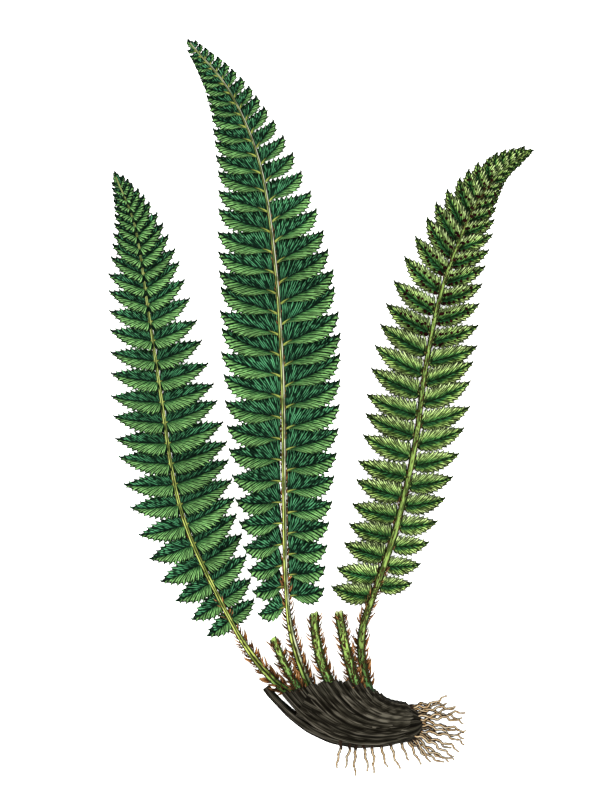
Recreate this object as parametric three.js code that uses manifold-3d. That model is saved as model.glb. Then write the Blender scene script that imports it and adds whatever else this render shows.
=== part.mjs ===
// A holly-leaved shield fern, dug up and laid down: a ridged rhizome with its roots, three
// once-pinnate fronds and three stalks cut short. Millimetres, +Z up, lying on the plane z = 0.
// The origin is on the flat spot under the rhizome, and +Y runs from there to the frond tips.
import * as THREE from "three";
import { mergeVertices } from "three/addons/utils/BufferGeometryUtils.js";
import Module from "manifold-3d";

const wasm = await Module();
wasm.setup();

// Driving dimensions, in millimetres unless a name says otherwise. A share is part of a whole.
const SOCKET_GAP = 0.35;
const STALK_SIDES = 6;
const FROND_STEPS = 24;
const CUT_STALK_STEPS = 6;
const MERGE_DISTANCE = 1e-4;

// Pinnae: their spacing grows with the distance from the frond's tip, up to a largest value.
const LARGEST_SPACING = 12.5;
const TIP_SPACING = 3.5;
const SPACING_GROWTH = 0.078;
const TIP_ANGLE = 48;
const NARROWING_SHARE = 0.5;
const SHORT_PINNA = 20;
const SHORT_WIDENING = 1.12;
const RIB_HEIGHT = 0.75;
const PINNA_STALK_HALF = 0.6;
const PINNA_STALK_CLEAR = 0.5;
const LONGEST_STALK_SHARE = 0.3;
const FULL_STALK_LENGTH = 18;
const ARCH = 0.06;
const TIPWARD_BEND = 0.1;
const BASE_SLANT = 0.45;
const TIP_LIFT = 0.1;
const END_PINNA = { length: 8, width: 4, curl: 0.02, lean: 0, stalk: 2 };
const END_PINNA_SHARE = 0.985;

// Half widths of a pinna at equal steps from its stalk to its tip, as shares of its width:
// the side towards the frond's tip has an ear at its base, the other side swells lower down.
const EAR_SIDE = [0.42, 0.56, 0.49, 0.47, 0.46, 0.44, 0.39, 0.32, 0.22, 0.1, 0];
const LOWER_SIDE = [0.06, 0.22, 0.42, 0.52, 0.55, 0.53, 0.47, 0.38, 0.26, 0.13, 0];

// Teeth: where in its step each crest and notch lies, and how deep a notch is cut.
const CREST_STEP = 0.3;
const NOTCH_STEP = 0.55;
const LAST_TOOTH_STEP = 0.35;
const NOTCH_CUT = 0.2;
const FOUR_TEETH_LENGTH = 28;
const THREE_TEETH_LENGTH = 10;

// Sori, the round heaps of spores, two rows to a fertile pinna.
const SORUS_SHARES = [0.28, 0.56];
const SORUS_ROW = 0.2;
const SORUS_RADIUS = 1.7;
const SORUS_HEIGHT = 1.7;
const SORUS_LIFT = 0.05;
const SHORTEST_FERTILE = 16;

// Stalks and rachises.
const LEAST_RACHIS = 0.55;
const RACHIS_TAPER = 1.3;
const CUT_STALK_FOOT = 1.12;
const CUT_STALK_TOP = 0.95;

// Scales on the stalks, in a spiral.
const SCALE_LENGTH = 5.2;
const SCALE_RADIUS = 0.8;
const SCALE_ROOT = 0.1;
const SCALE_LEAN = 0.75;
const LEAN_SPREAD = 0.2;
const SCALE_SIZES = [0.75, 1.1];
const UPPER_SCALE_SIZE = 0.6;
const SCALE_TURN = 2.4;
const SCALE_SEAT = 0.8;
const FROND_SCALES = { from: 26, pastFirstPinna: 16, spacing: 4 };
const CUT_STALK_SCALES = { from: 23, belowCut: 1.5, spacing: 4 };

// Rhizome: a bundle of old frond bases bowed from its root end to its upper edge. The upper
// edge is a line of points from the prong at its left to its right end.
const RHIZOME_HEIGHT = 11.5;
const UPPER_EDGE = [
  [-47.5, 17], [-35, 14], [-25, 17.5], [-15, 20], [-4, 21], [6, 20.5], [14, 16], [20, 12.5],
];
const ROOT_END_LOW = [46, -10];
const ROOT_END_HIGH = [46, 2.5];
const ROOT_END_ROUNDING = 6;
const ROOT_END_FLATTENING = 0.8;
const BOW = 0.34;
const BUNDLE_DEPTHS = [7.6, 13.25, 8.5];
const BASE_STEPS = 6;
const BASE_RADII = { ends: 2.4, swell: 1.65, shift: 0.12 };
const LOWEST_BASE_DROP = 3;
const FRONT_BASES = { count: 9, ranks: [0.13, 0.93] };
const BACK_BASES = { count: 5, ranks: [0.16, 0.9] };
const HEART = { path: [[45.5, -3.5], [10, -10], [-24, 10]], sides: 8, steps: 5 };
const HEART_RADII = { ends: 5.5, swell: 7.5, shift: 0.03, last: 0.85 };
const CUTTER_SIZE = 400;
const CUTTER_DEPTH = 40;

// Roots: a fan from the root end and a row along the lower edge.
const ROOT_RADIUS = 0.75;
const ROOT_TAPER = [1.15, 0.6];
const ROOT_SIDES = 4;
const ROOT_STEPS = 4;
const ROOT_POINTS = 5;
const ROOT_WAVE = 1.5;
const WAVE_TURNS = [4, 7];
const WAVE_RISE = 0.6;
const ROOT_DROP_POWER = 1.2;
const ROOT_TIP_HEIGHTS = [1, 3.5];
const ROOT_CLEARANCE = 0.15;
const ROOT_FAN = {
  count: 17, headings: [24, -64], spread: 12, heights: [-7, 7], startY: [2.5, -12],
  startX: 42, startRounding: 8, middle: 0.4, lengths: [24, 33], longest: 0.3, shortening: 6,
};
const ROOT_ROW = {
  count: 8, headings: [-102, -66], startX: [-1, 34], startY: [-16, -13], heights: [6.5, 12.5],
  lengths: [13, 18],
};

// Each frond: points on its rachis from inside the rhizome to the tip, where its first pinnae
// stand, the reach of the pinnae from the rachis at equal steps up the blade, the angles of the
// first and middle pinnae to the rachis, the share up the blade where the middle angle is
// reached, the pinnae's tilt, and which face looks up (1 is the upper).
const FRONDS = [
  {
    name: "frond_left",
    colour: 0x2f6b3a,
    face: 1,
    rachis: [
      [-22, 4.5, 8.5], [-29, 11, 11], [-43.8, 22.2, 13], [-60, 42.6, 16.5], [-76.2, 72, 19.3],
      [-93, 108, 18.8], [-102.5, 141, 16.4], [-110.4, 192, 11], [-118, 243, 5.9], [-126, 293, 2.7],
      [-137.4, 322.8, 2.6],
    ],
    firstPinna: { left: 72.4, right: 72.4 },
    reach: {
      left: [17, 27, 29.5, 31.5, 30.5, 26, 21.5, 12, 2.6],
      right: [19, 29.5, 34.5, 36.5, 33, 29, 24, 14.5, 3.6],
    },
    firstAngle: { left: 103, right: 84 },
    middleAngle: { left: 76, right: 80 },
    settledShare: 0.35,
    widthShare: 0.48,
    stalkRadius: 2.5,
    rachisRadius: 1.3,
    tilt: 17,
    curl: 0.1,
    fertileFrom: Infinity,
  },
  {
    name: "frond_middle",
    colour: 0x2f6b3a,
    face: 1,
    rachis: [
      [-11.5, 1.5, 9.5], [-15.6, 9, 12], [-24, 24, 15.5], [-32.4, 51, 22], [-35.5, 84, 27.5],
      [-36.6, 140, 32], [-37.5, 204, 30.5], [-41.8, 270, 22], [-51, 330, 10.8], [-69, 373.5, 3.3],
      [-93, 403.2, 1.3],
    ],
    firstPinna: { left: 70.9, right: 76.9 },
    reach: {
      left: [18, 26.5, 33.5, 37, 36, 32.5, 25, 14, 2.8],
      right: [22.5, 27.5, 33.5, 36.5, 36, 29.5, 19.5, 11, 3.2],
    },
    firstAngle: { left: 106, right: 90 },
    middleAngle: { left: 66, right: 63 },
    settledShare: 0.4,
    widthShare: 0.5,
    stalkRadius: 2.8,
    rachisRadius: 1.4,
    tilt: 17,
    curl: 0.1,
    fertileFrom: Infinity,
  },
  {
    name: "frond_right",
    colour: 0x6f9a3c,
    face: -1,
    rachis: [
      [18.5, 2, 9], [16.2, 9, 11], [10.5, 30, 11], [10.5, 52, 9.4], [19.2, 78, 7],
      [31.2, 114, 4.2], [42, 162, 2.3], [48.6, 210, 3.6], [58, 255, 7.4], [73.8, 297, 13.6],
      [90, 322, 18.8], [109.2, 337.2, 24],
    ],
    firstPinna: { left: 71.6, right: 78.6 },
    reach: {
      left: [25.5, 28, 32, 34, 33.5, 30, 23.5, 13, 3],
      right: [20, 22.5, 27, 30.5, 29.5, 25, 18.5, 8, 2],
    },
    firstAngle: { left: 102, right: 72 },
    middleAngle: { left: 74, right: 64 },
    settledShare: 0.45,
    widthShare: 0.46,
    stalkRadius: 3,
    rachisRadius: 2.1,
    tilt: 15,
    curl: -0.08,
    fertileFrom: 0.53,
  },
];

// The stalks cut short, from inside the rhizome to the cut.
const CUT_STALKS = [
  {
    name: "cut_stalk_left",
    path: [[-19.5, 5, 16.5], [-25, 12, 18], [-31.8, 22.2, 20], [-37.2, 33, 22], [-43.2, 46.8, 23.5]],
    radius: 2.7,
  },
  {
    name: "cut_stalk_middle",
    path: [
      [-0.5, 3, 14.5], [-3.6, 10, 16.5], [-9.6, 21, 18.5],
      [-14.4, 33, 20], [-17.6, 48, 21.5], [-18.6, 61.8, 22],
    ],
    radius: 3.2,
  },
  {
    name: "cut_stalk_right",
    path: [
      [12.8, 3, 16.5], [10.4, 10, 18.5], [5.6, 22, 20.5],
      [2.4, 33, 21.5], [-1.2, 48, 22.5], [-3.8, 62.4, 22.5],
    ],
    radius: 3.2,
  },
];

const RHIZOME_COLOUR = 0x2d2823;
const CUT_STALK_COLOUR = 0x8fae5a;
const BARK_ROUGHNESS = 0.9;
const LEAF_ROUGHNESS = 0.6;

// Numbers and curves.

const UP = new THREE.Vector3(0, 0, 1);
const CONE_AXIS = new THREE.Vector3(0, 1, 0);
const degrees = THREE.MathUtils.degToRad;
const mix = THREE.MathUtils.lerp;
const between = ([low, high], share) => mix(low, high, share);

// A repeatable value from 0 to 1 for the item and the use given.
function chance(item, use) {
  const wave = Math.sin(item * 12.9898 + use * 78.233) * 43758.5453;
  return wave - Math.floor(wave);
}

// A value read smoothly off a list of values set at equal steps from 0 to 1.
function readOff(values, share) {
  const place = THREE.MathUtils.clamp(share, 0, 1) * (values.length - 1);
  const step = Math.min(Math.floor(place), values.length - 2);
  return mix(values[step], values[step + 1], place - step);
}

function curveThrough(points) {
  const places = points.map((xyz) => new THREE.Vector3(...xyz));
  return new THREE.CatmullRomCurve3(places, false, "catmullrom");
}

// The point, direction, sideways and upward vectors of a curve at a share of its length.
function frameAt(curve, share) {
  const at = curve.getPointAt(share);
  const along = curve.getTangentAt(share).normalize();
  const across = new THREE.Vector3().crossVectors(along, UP).normalize();
  const up = new THREE.Vector3().crossVectors(across, along);
  return { at, along, across, up };
}

// Closed bodies, and joining and cutting them.

function solidOf(geometry) {
  const bare = geometry.clone();
  bare.deleteAttribute("normal");
  bare.deleteAttribute("uv");
  const merged = mergeVertices(bare, MERGE_DISTANCE);
  return new wasm.Manifold(
    new wasm.Mesh({
      numProp: 3,
      vertProperties: merged.getAttribute("position").array,
      triVerts: new Uint32Array(merged.index.array),
    }),
  );
}

function joinAll(solids) {
  let left = solids;
  while (left.length > 1) {
    const joined = [];
    for (let i = 0; i < left.length; i += 2) {
      joined.push(i + 1 < left.length ? left[i].add(left[i + 1]) : left[i]);
    }
    left = joined;
  }
  return left[0];
}

// The largest body of a solid, without scraps left over by a cut.
function largestBody(solid) {
  return solid.decompose().reduce((best, body) => (body.volume() > best.volume() ? body : best));
}

function geometryOf(solid) {
  const mesh = solid.getMesh();
  const geometry = new THREE.BufferGeometry();
  geometry.setAttribute("position", new THREE.BufferAttribute(mesh.vertProperties, 3));
  geometry.setIndex(new THREE.BufferAttribute(mesh.triVerts, 1));
  geometry.computeVertexNormals();
  return geometry;
}

// A closed rod bent along a curve, its radius given by a formula of the share of its length.
// `deeper` moves its first end further back along the curve's own direction.
function bentRod(curve, radiusAt, sides, steps, deeper = 0) {
  const rod = new THREE.CylinderGeometry(1, 1, 1, sides, steps);
  const places = rod.getAttribute("position");
  const frames = Array.from({ length: steps + 1 }, (_, i) => frameAt(curve, i / steps));
  frames[0].at.addScaledVector(frames[0].along, -deeper);
  for (let i = 0; i < places.count; i += 1) {
    const share = places.getY(i) + 0.5;
    const { at, across, up } = frames[Math.round(share * steps)];
    const radius = radiusAt(share);
    const moved = at.clone();
    moved.addScaledVector(across, places.getX(i) * radius);
    moved.addScaledVector(up, places.getZ(i) * radius);
    places.setXYZ(i, moved.x, moved.y, moved.z);
  }
  return rod;
}

// Pinnae.

function teethFor(length) {
  if (length > FOUR_TEETH_LENGTH) return 4;
  return length > THREE_TEETH_LENGTH ? 3 : 2;
}

// The edge of one side from stalk to tip: [share of length, half width] with forward teeth.
// The blade narrows to its stalk, given by the stalk's share of the length and its half width.
// `slant` moves the base of the edge outwards, so that it runs beside the rachis.
function toothedEdge(profile, teeth, stalk, slant) {
  const edge = [[0, stalk.half], [stalk.share, stalk.half]];
  const put = (step, cut) => {
    const share = mix(stalk.share, 1, step / (teeth + LAST_TOOTH_STEP));
    edge.push([share + slant * (1 - share) ** 2, readOff(profile, share) * (1 - cut)]);
  };
  for (let tooth = 0; tooth < teeth; tooth += 1) {
    put(tooth + CREST_STEP, 0);
    if (tooth + 1 < teeth) put(tooth + NOTCH_STEP, NOTCH_CUT);
  }
  return edge;
}

// The triangles between the midrib and one edge, both followed from the stalk to the tip.
function facesToEdge(ribs, ribShares, edge, edgeShares, tip) {
  const faces = [];
  let inner = 0;
  let outer = 0;
  while (outer < edge.length || inner < ribs.length - 1) {
    const here = edge[outer] ?? tip;
    const nextOuter = edgeShares[outer + 1] ?? 1;
    const nextInner = ribShares[inner + 1] ?? Infinity;
    if (outer < edge.length && nextOuter <= nextInner) {
      faces.push([ribs[inner], edge[outer + 1] ?? tip, here]);
      outer += 1;
    } else {
      faces.push([ribs[inner], ribs[inner + 1], here]);
      inner += 1;
    }
  }
  return faces;
}

// One pinna as a closed blade: its upper face rises to the midrib and its lower face is flat
// from edge to edge. `stand` holds its root point, the directions along it, towards the frond's
// tip and upwards, its length, width, curl and lean, and the length of its stalk.
function pinnaBlade(stand) {
  const { root, along, tipwards, top, length, width, curl } = stand;
  const teeth = teethFor(length);
  const stalkHalf = PINNA_STALK_HALF * Math.min(1, length / FULL_STALK_LENGTH);
  const stalk = { share: stand.stalk / length, half: stalkHalf / width };
  const slant = (BASE_SLANT * width * stand.lean) / length;
  const ear = toothedEdge(EAR_SIDE, teeth, stalk, Math.max(0, slant));
  const lower = toothedEdge(LOWER_SIDE, teeth, stalk, Math.max(0, -slant));
  const ribShares = [0, stalk.share, ...(teeth > 3 ? [0.4, 0.74] : [0.55])];

  const points = [];
  const put = (share, half, lift) => {
    const bend = TIPWARD_BEND * length * share * share;
    const sag = curl * length * share * share + ARCH * Math.abs(half) * width;
    const place = root
      .clone()
      .addScaledVector(along, length * share)
      .addScaledVector(tipwards, half * width + bend)
      .addScaledVector(top, lift - sag);
    return points.push(place) - 1;
  };
  const tip = put(1, 0, TIP_LIFT);
  const ears = ear.map(([share, half]) => put(share, half, 0));
  const lowers = lower.map(([share, half]) => put(share, -half, 0));
  const ribs = ribShares.map((share) => put(share, 0, share > 0 ? RIB_HEIGHT : stalkHalf));

  const sharesOf = (edge) => edge.map(([share]) => share);
  const faces = [[ribs[0], ears[0], lowers[0]]];
  faces.push(...facesToEdge(ribs, ribShares, ears, sharesOf(ear), tip));
  for (const face of facesToEdge(ribs, ribShares, lowers, sharesOf(lower), tip)) {
    faces.push(face.reverse());
  }
  const last = ears.length - 1;
  for (let i = 0; i < last; i += 1) {
    faces.push([ears[i], ears[i + 1], lowers[i]]);
    faces.push([ears[i + 1], lowers[i + 1], lowers[i]]);
  }
  faces.push([ears[last], tip, lowers[last]]);
  const rightHanded = new THREE.Vector3().crossVectors(along, tipwards).dot(top) > 0;
  if (!rightHanded) faces.forEach((face) => face.reverse());

  const blade = new THREE.BufferGeometry();
  const places = new Float32Array(points.flatMap((place) => place.toArray()));
  blade.setAttribute("position", new THREE.BufferAttribute(places, 3));
  blade.setIndex(faces.flat());
  return blade;
}

// Places of the pinnae along the rachis, from the lowest to the tip, for one side.
function pinnaPlaces(first, length) {
  const places = [];
  let place = first;
  while (length - place > TIP_SPACING) {
    places.push(place);
    place += Math.min(LARGEST_SPACING, TIP_SPACING + SPACING_GROWTH * (length - place));
  }
  return places;
}

const bladeStart = (frond) => Math.min(frond.firstPinna.left, frond.firstPinna.right);

// How a pinna stands on its frond: side is "left" or "right", seen from above.
function pinnaStand(frond, curve, length, place, side) {
  const start = bladeStart(frond);
  const upBlade = (place - start) / (length - start);
  const { at, along, across, up } = frameAt(curve, place / length);
  const out = across.multiplyScalar(side === "right" ? 1 : -1);
  const upper = up.multiplyScalar(frond.face);
  const settled = Math.min(1, upBlade / frond.settledShare);
  const lowerAngle = mix(frond.firstAngle[side], frond.middleAngle[side], settled);
  const narrowing = THREE.MathUtils.smoothstep(upBlade, NARROWING_SHARE, 1);
  const angle = degrees(mix(lowerAngle, TIP_ANGLE, narrowing));
  const tilt = degrees(frond.tilt);
  const lengthwise = along.clone().multiplyScalar(Math.cos(angle));
  lengthwise.addScaledVector(out, Math.sin(angle));
  const flat = along.clone().multiplyScalar(Math.sin(angle)).addScaledVector(out, -Math.cos(angle));
  const tipwards = flat.clone().multiplyScalar(Math.cos(tilt)).addScaledVector(upper, -Math.sin(tilt));
  const normal = upper.clone().multiplyScalar(Math.cos(tilt)).addScaledVector(flat, Math.sin(tilt));
  const pinnaLength = readOff(frond.reach[side], upBlade) / Math.sin(angle);
  const widening = mix(SHORT_WIDENING, 1, Math.min(1, pinnaLength / SHORT_PINNA));
  const stalk = rachisRadius(frond, length)(place / length) + PINNA_STALK_CLEAR;
  return {
    root: at,
    along: lengthwise,
    tipwards,
    top: normal.multiplyScalar(frond.face),
    length: pinnaLength,
    width: pinnaLength * frond.widthShare * widening,
    curl: frond.curl,
    lean: 1 / Math.tan(angle),
    stalk: Math.min(stalk, LONGEST_STALK_SHARE * pinnaLength),
    upBlade,
  };
}

// The small blade that ends a frond, in line with its rachis.
function endStand(curve) {
  const { at, along, across, up } = frameAt(curve, END_PINNA_SHARE);
  return { root: at, along, tipwards: across, top: up, ...END_PINNA };
}

function turned(geometry, direction, at) {
  geometry.applyQuaternion(new THREE.Quaternion().setFromUnitVectors(CONE_AXIS, direction));
  geometry.translate(at.x, at.y, at.z);
  return solidOf(geometry);
}

// Sori: two rows of low heaps on the underside of a fertile pinna, which looks up.
function soriOf(stand) {
  const heaps = [];
  for (const share of SORUS_SHARES) {
    for (const row of [-SORUS_ROW, SORUS_ROW]) {
      const along = stand.length * share;
      const tipwards = row * stand.width + TIPWARD_BEND * along * share;
      const sag = stand.curl * along * share + ARCH * SORUS_ROW * stand.width;
      const at = stand.root
        .clone()
        .addScaledVector(stand.along, along)
        .addScaledVector(stand.tipwards, tipwards)
        .addScaledVector(stand.top, 0.5 * SORUS_HEIGHT + SORUS_LIFT - sag);
      heaps.push(turned(new THREE.ConeGeometry(SORUS_RADIUS, SORUS_HEIGHT, 3), stand.top, at));
    }
  }
  return heaps;
}

// Stalks, fronds and their scales.

// Narrow three-sided scales leaning up a stalk, in a spiral from one place to another.
function scalesAlong(curve, { from, to, spacing }, radiusAt, seed) {
  const length = curve.getLength();
  const scales = [];
  for (let place = from, i = 0; place < to; place += spacing, i += 1) {
    const { at, along, across, up } = frameAt(curve, place / length);
    const round = i * SCALE_TURN + seed;
    const out = across.clone().multiplyScalar(Math.cos(round)).addScaledVector(up, Math.sin(round));
    const lean = SCALE_LEAN + LEAN_SPREAD * (2 * chance(i, seed) - 1);
    const direction = along.clone().multiplyScalar(Math.cos(lean)).addScaledVector(out, Math.sin(lean));
    const higher = mix(1, UPPER_SCALE_SIZE, (place - from) / (to - from));
    const size = SCALE_LENGTH * between(SCALE_SIZES, chance(i, seed + 1)) * higher;
    const scale = new THREE.ConeGeometry(SCALE_RADIUS, size, 3);
    scale.translate(0, (0.5 - SCALE_ROOT) * size, 0);
    const root = at.clone().addScaledVector(out, radiusAt(place / length) * SCALE_SEAT);
    scales.push(turned(scale, direction, root));
  }
  return scales;
}

// Only the pieces that stay clear of every solid in a list.
function clearOf(pieces, solids) {
  return pieces.filter((piece) => solids.every((other) => piece.intersect(other).volume() <= 0));
}

// Stalk and rachis radius: thick at the rhizome, slimmer along the blade, fine at the tip.
function rachisRadius(frond, length) {
  const stalkEnd = bladeStart(frond) / length;
  return (share) => {
    const stalk = mix(frond.stalkRadius, frond.rachisRadius, Math.min(1, share / stalkEnd));
    const upBlade = Math.max(0, (share - stalkEnd) / (1 - stalkEnd));
    return mix(stalk, LEAST_RACHIS, upBlade ** RACHIS_TAPER);
  };
}

function cutStalkRadius(stalk) {
  return (share) => stalk.radius * mix(CUT_STALK_FOOT, CUT_STALK_TOP, share);
}

function makeFrond(frond, seed, neighbours) {
  const curve = curveThrough(frond.rachis);
  const length = curve.getLength();
  const radiusAt = rachisRadius(frond, length);
  const pieces = [solidOf(bentRod(curve, radiusAt, STALK_SIDES, FROND_STEPS))];
  for (const side of ["left", "right"]) {
    for (const place of pinnaPlaces(frond.firstPinna[side], length)) {
      const stand = pinnaStand(frond, curve, length, place, side);
      pieces.push(solidOf(pinnaBlade(stand)));
      const fertile = stand.upBlade > frond.fertileFrom && stand.length > SHORTEST_FERTILE;
      if (fertile) pieces.push(...soriOf(stand));
    }
  }
  pieces.push(solidOf(pinnaBlade(endStand(curve))));
  const { from, pastFirstPinna, spacing } = FROND_SCALES;
  const stretch = { from, to: bladeStart(frond) + pastFirstPinna, spacing };
  pieces.push(...clearOf(scalesAlong(curve, stretch, radiusAt, seed), neighbours));
  return largestBody(joinAll(pieces));
}

function makeCutStalk(stalk, seed, neighbours) {
  const curve = curveThrough(stalk.path);
  const radiusAt = cutStalkRadius(stalk);
  const rod = solidOf(bentRod(curve, radiusAt, STALK_SIDES, CUT_STALK_STEPS));
  const { from, belowCut, spacing } = CUT_STALK_SCALES;
  const stretch = { from, to: curve.getLength() - belowCut, spacing };
  const scales = clearOf(scalesAlong(curve, stretch, radiusAt, seed), neighbours);
  return largestBody(joinAll([rod, ...scales]));
}

// The rhizome.

// One old frond base. `rank` runs from 0 at the lower edge to 1 at the upper edge, and `depth`
// from -1 at the back to 1 at the front.
function oldBase(rank, depth, height) {
  const flat = (values) => ROOT_END_LOW.map((_, axis) => values(axis));
  const start = flat((axis) => mix(ROOT_END_LOW[axis], ROOT_END_HIGH[axis], rank));
  start[0] -= ROOT_END_ROUNDING * Math.hypot(2 * rank - 1, ROOT_END_FLATTENING * depth) ** 2;
  const end = flat((axis) => readOff(UPPER_EDGE.map((place) => place[axis]), rank));
  const chord = [start[0] - end[0], start[1] - end[1]];
  const middle = [
    (start[0] + end[0]) / 2 + BOW * chord[1],
    (start[1] + end[1]) / 2 - BOW * chord[0],
  ];
  const [startDepth, middleDepth, endDepth] = BUNDLE_DEPTHS;
  const curve = new THREE.QuadraticBezierCurve3(
    new THREE.Vector3(...start, height + depth * startDepth),
    new THREE.Vector3(...middle, height + depth * middleDepth),
    new THREE.Vector3(...end, height + depth * endDepth),
  );
  const { ends, swell, shift } = BASE_RADII;
  const radiusAt = (share) => ends + swell * Math.sin(Math.PI * Math.min(1, share + shift));
  return solidOf(bentRod(curve, radiusAt, STALK_SIDES, BASE_STEPS));
}

// A row of old bases over the front (side 1) or the back (side -1) of the rhizome.
function baseRow({ count, ranks }, side) {
  return Array.from({ length: count }, (_, i) => {
    const rank = between(ranks, i / (count - 1));
    return oldBase(rank, side * Math.sqrt(1 - (2 * rank - 1) ** 2), RHIZOME_HEIGHT);
  });
}

// The solid heart that the old bases lie on.
function rhizomeHeart() {
  const points = HEART.path.map(([x, y]) => new THREE.Vector3(x, y, RHIZOME_HEIGHT));
  const { ends, swell, shift, last } = HEART_RADII;
  const radiusAt = (share) => ends + swell * Math.sin(Math.PI * Math.min(last, share + shift));
  const curve = new THREE.QuadraticBezierCurve3(...points);
  return solidOf(bentRod(curve, radiusAt, HEART.sides, HEART.steps));
}

// One wiry root as a wavy rod. `heading` is its direction over the surface, in degrees.
function makeRoot(start, heading, length, item) {
  const forward = new THREE.Vector2(Math.cos(degrees(heading)), Math.sin(degrees(heading)));
  const phase = chance(item, 3) * Math.PI * 2;
  const turns = between(WAVE_TURNS, chance(item, 4));
  const tipHeight = between(ROOT_TIP_HEIGHTS, chance(item, 5));
  const points = Array.from({ length: ROOT_POINTS + 1 }, (_, i) => {
    const share = i / ROOT_POINTS;
    const wave = ROOT_WAVE * share * Math.sin(phase + share * turns);
    const height = mix(start[2], tipHeight, share ** ROOT_DROP_POWER) + WAVE_RISE * wave;
    return [
      start[0] + length * share * forward.x - wave * forward.y,
      start[1] + length * share * forward.y + wave * forward.x,
      Math.max(height, ROOT_RADIUS + ROOT_CLEARANCE),
    ];
  });
  const radiusAt = (share) => ROOT_RADIUS * between(ROOT_TAPER, share);
  return solidOf(bentRod(curveThrough(points), radiusAt, ROOT_SIDES, ROOT_STEPS));
}

// The fan of roots on the root end.
function rootFan() {
  return Array.from({ length: ROOT_FAN.count }, (_, i) => {
    const share = (i + 0.5) / ROOT_FAN.count;
    const heading = between(ROOT_FAN.headings, share) + ROOT_FAN.spread * (chance(i, 0) - 0.5);
    const start = [
      ROOT_FAN.startX - ROOT_FAN.startRounding * Math.abs(share - ROOT_FAN.middle),
      between(ROOT_FAN.startY, share),
      RHIZOME_HEIGHT + between(ROOT_FAN.heights, chance(i, 1)),
    ];
    const shortening = ROOT_FAN.shortening * Math.abs(share - ROOT_FAN.longest);
    return makeRoot(start, heading, between(ROOT_FAN.lengths, chance(i, 2)) - shortening, i);
  });
}

// The row of roots along the lower edge.
function rootRow() {
  return Array.from({ length: ROOT_ROW.count }, (_, i) => {
    const share = i / (ROOT_ROW.count - 1);
    const start = [
      between(ROOT_ROW.startX, share),
      between(ROOT_ROW.startY, share ** 2),
      between(ROOT_ROW.heights, chance(i, 6)),
    ];
    const length = between(ROOT_ROW.lengths, chance(i, 7));
    return makeRoot(start, between(ROOT_ROW.headings, share), length, i + ROOT_FAN.count);
  });
}

// The rhizome with its roots, cut flat where it rests and hollowed where the stalks stand.
function makeRhizome(sockets) {
  const lowest = oldBase(0, 0, RHIZOME_HEIGHT - LOWEST_BASE_DROP);
  const highest = oldBase(1, 0, RHIZOME_HEIGHT);
  const rows = [...baseRow(FRONT_BASES, 1), ...baseRow(BACK_BASES, -1)];
  const below = new THREE.BoxGeometry(CUTTER_SIZE, CUTTER_SIZE, CUTTER_DEPTH);
  below.translate(0, 0, -CUTTER_DEPTH / 2);
  const grown = joinAll([rhizomeHeart(), lowest, highest, ...rows, ...rootFan(), ...rootRow()]);
  return largestBody(grown.subtract(solidOf(below)).subtract(joinAll(sockets)));
}

// A stalk's own rod, swollen and deepened by the gap its socket needs.
function socketOf(points, radiusAt, steps) {
  const gap = SOCKET_GAP / Math.cos(Math.PI / STALK_SIDES);
  const swollen = (share) => radiusAt(share) + gap;
  return solidOf(bentRod(curveThrough(points), swollen, STALK_SIDES, steps, SOCKET_GAP));
}

// The whole plant. Scales that would reach into the rhizome or another stalk are left off.

const plant = new THREE.Group();

function addPiece(name, solid, colour, roughness) {
  const material = new THREE.MeshStandardMaterial({ color: colour, roughness, metalness: 0 });
  const mesh = new THREE.Mesh(geometryOf(solid), material);
  mesh.name = name;
  plant.add(mesh);
}

const frondSockets = FRONDS.map((frond) => {
  const length = curveThrough(frond.rachis).getLength();
  return socketOf(frond.rachis, rachisRadius(frond, length), FROND_STEPS);
});
const cutStalkSockets = CUT_STALKS.map((stalk) => (
  socketOf(stalk.path, cutStalkRadius(stalk), CUT_STALK_STEPS)
));
const sockets = [...frondSockets, ...cutStalkSockets];
const solids = [makeRhizome(sockets)];
addPiece("rhizome_with_roots", solids[0], RHIZOME_COLOUR, BARK_ROUGHNESS);

FRONDS.forEach((frond, i) => {
  const others = sockets.filter((socket) => socket !== frondSockets[i]);
  const solid = makeFrond(frond, i, [...solids, ...others]);
  solids.push(solid);
  addPiece(frond.name, solid, frond.colour, LEAF_ROUGHNESS);
});

CUT_STALKS.forEach((stalk, i) => {
  const others = sockets.filter((socket) => socket !== cutStalkSockets[i]);
  const solid = makeCutStalk(stalk, FRONDS.length + i, [...solids, ...others]);
  solids.push(solid);
  addPiece(stalk.name, solid, CUT_STALK_COLOUR, LEAF_ROUGHNESS);
});

export default plant;
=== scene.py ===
"""A holly-leaved shield fern, dug up and laid on a pale sheet, seen from straight above.

Three once-pinnate fronds and three stalks cut short stand in a ridged rhizome with wiry roots.
Lengths here are millimetres until a mesh is made, and a share is a part of a whole, 0 to 1. The
plant lies on z = 0 and its fronds run towards +Y.
"""

import logging
import math
from collections.abc import Callable, Sequence
from dataclasses import dataclass, replace
from enum import Enum, IntEnum
from functools import partial

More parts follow.
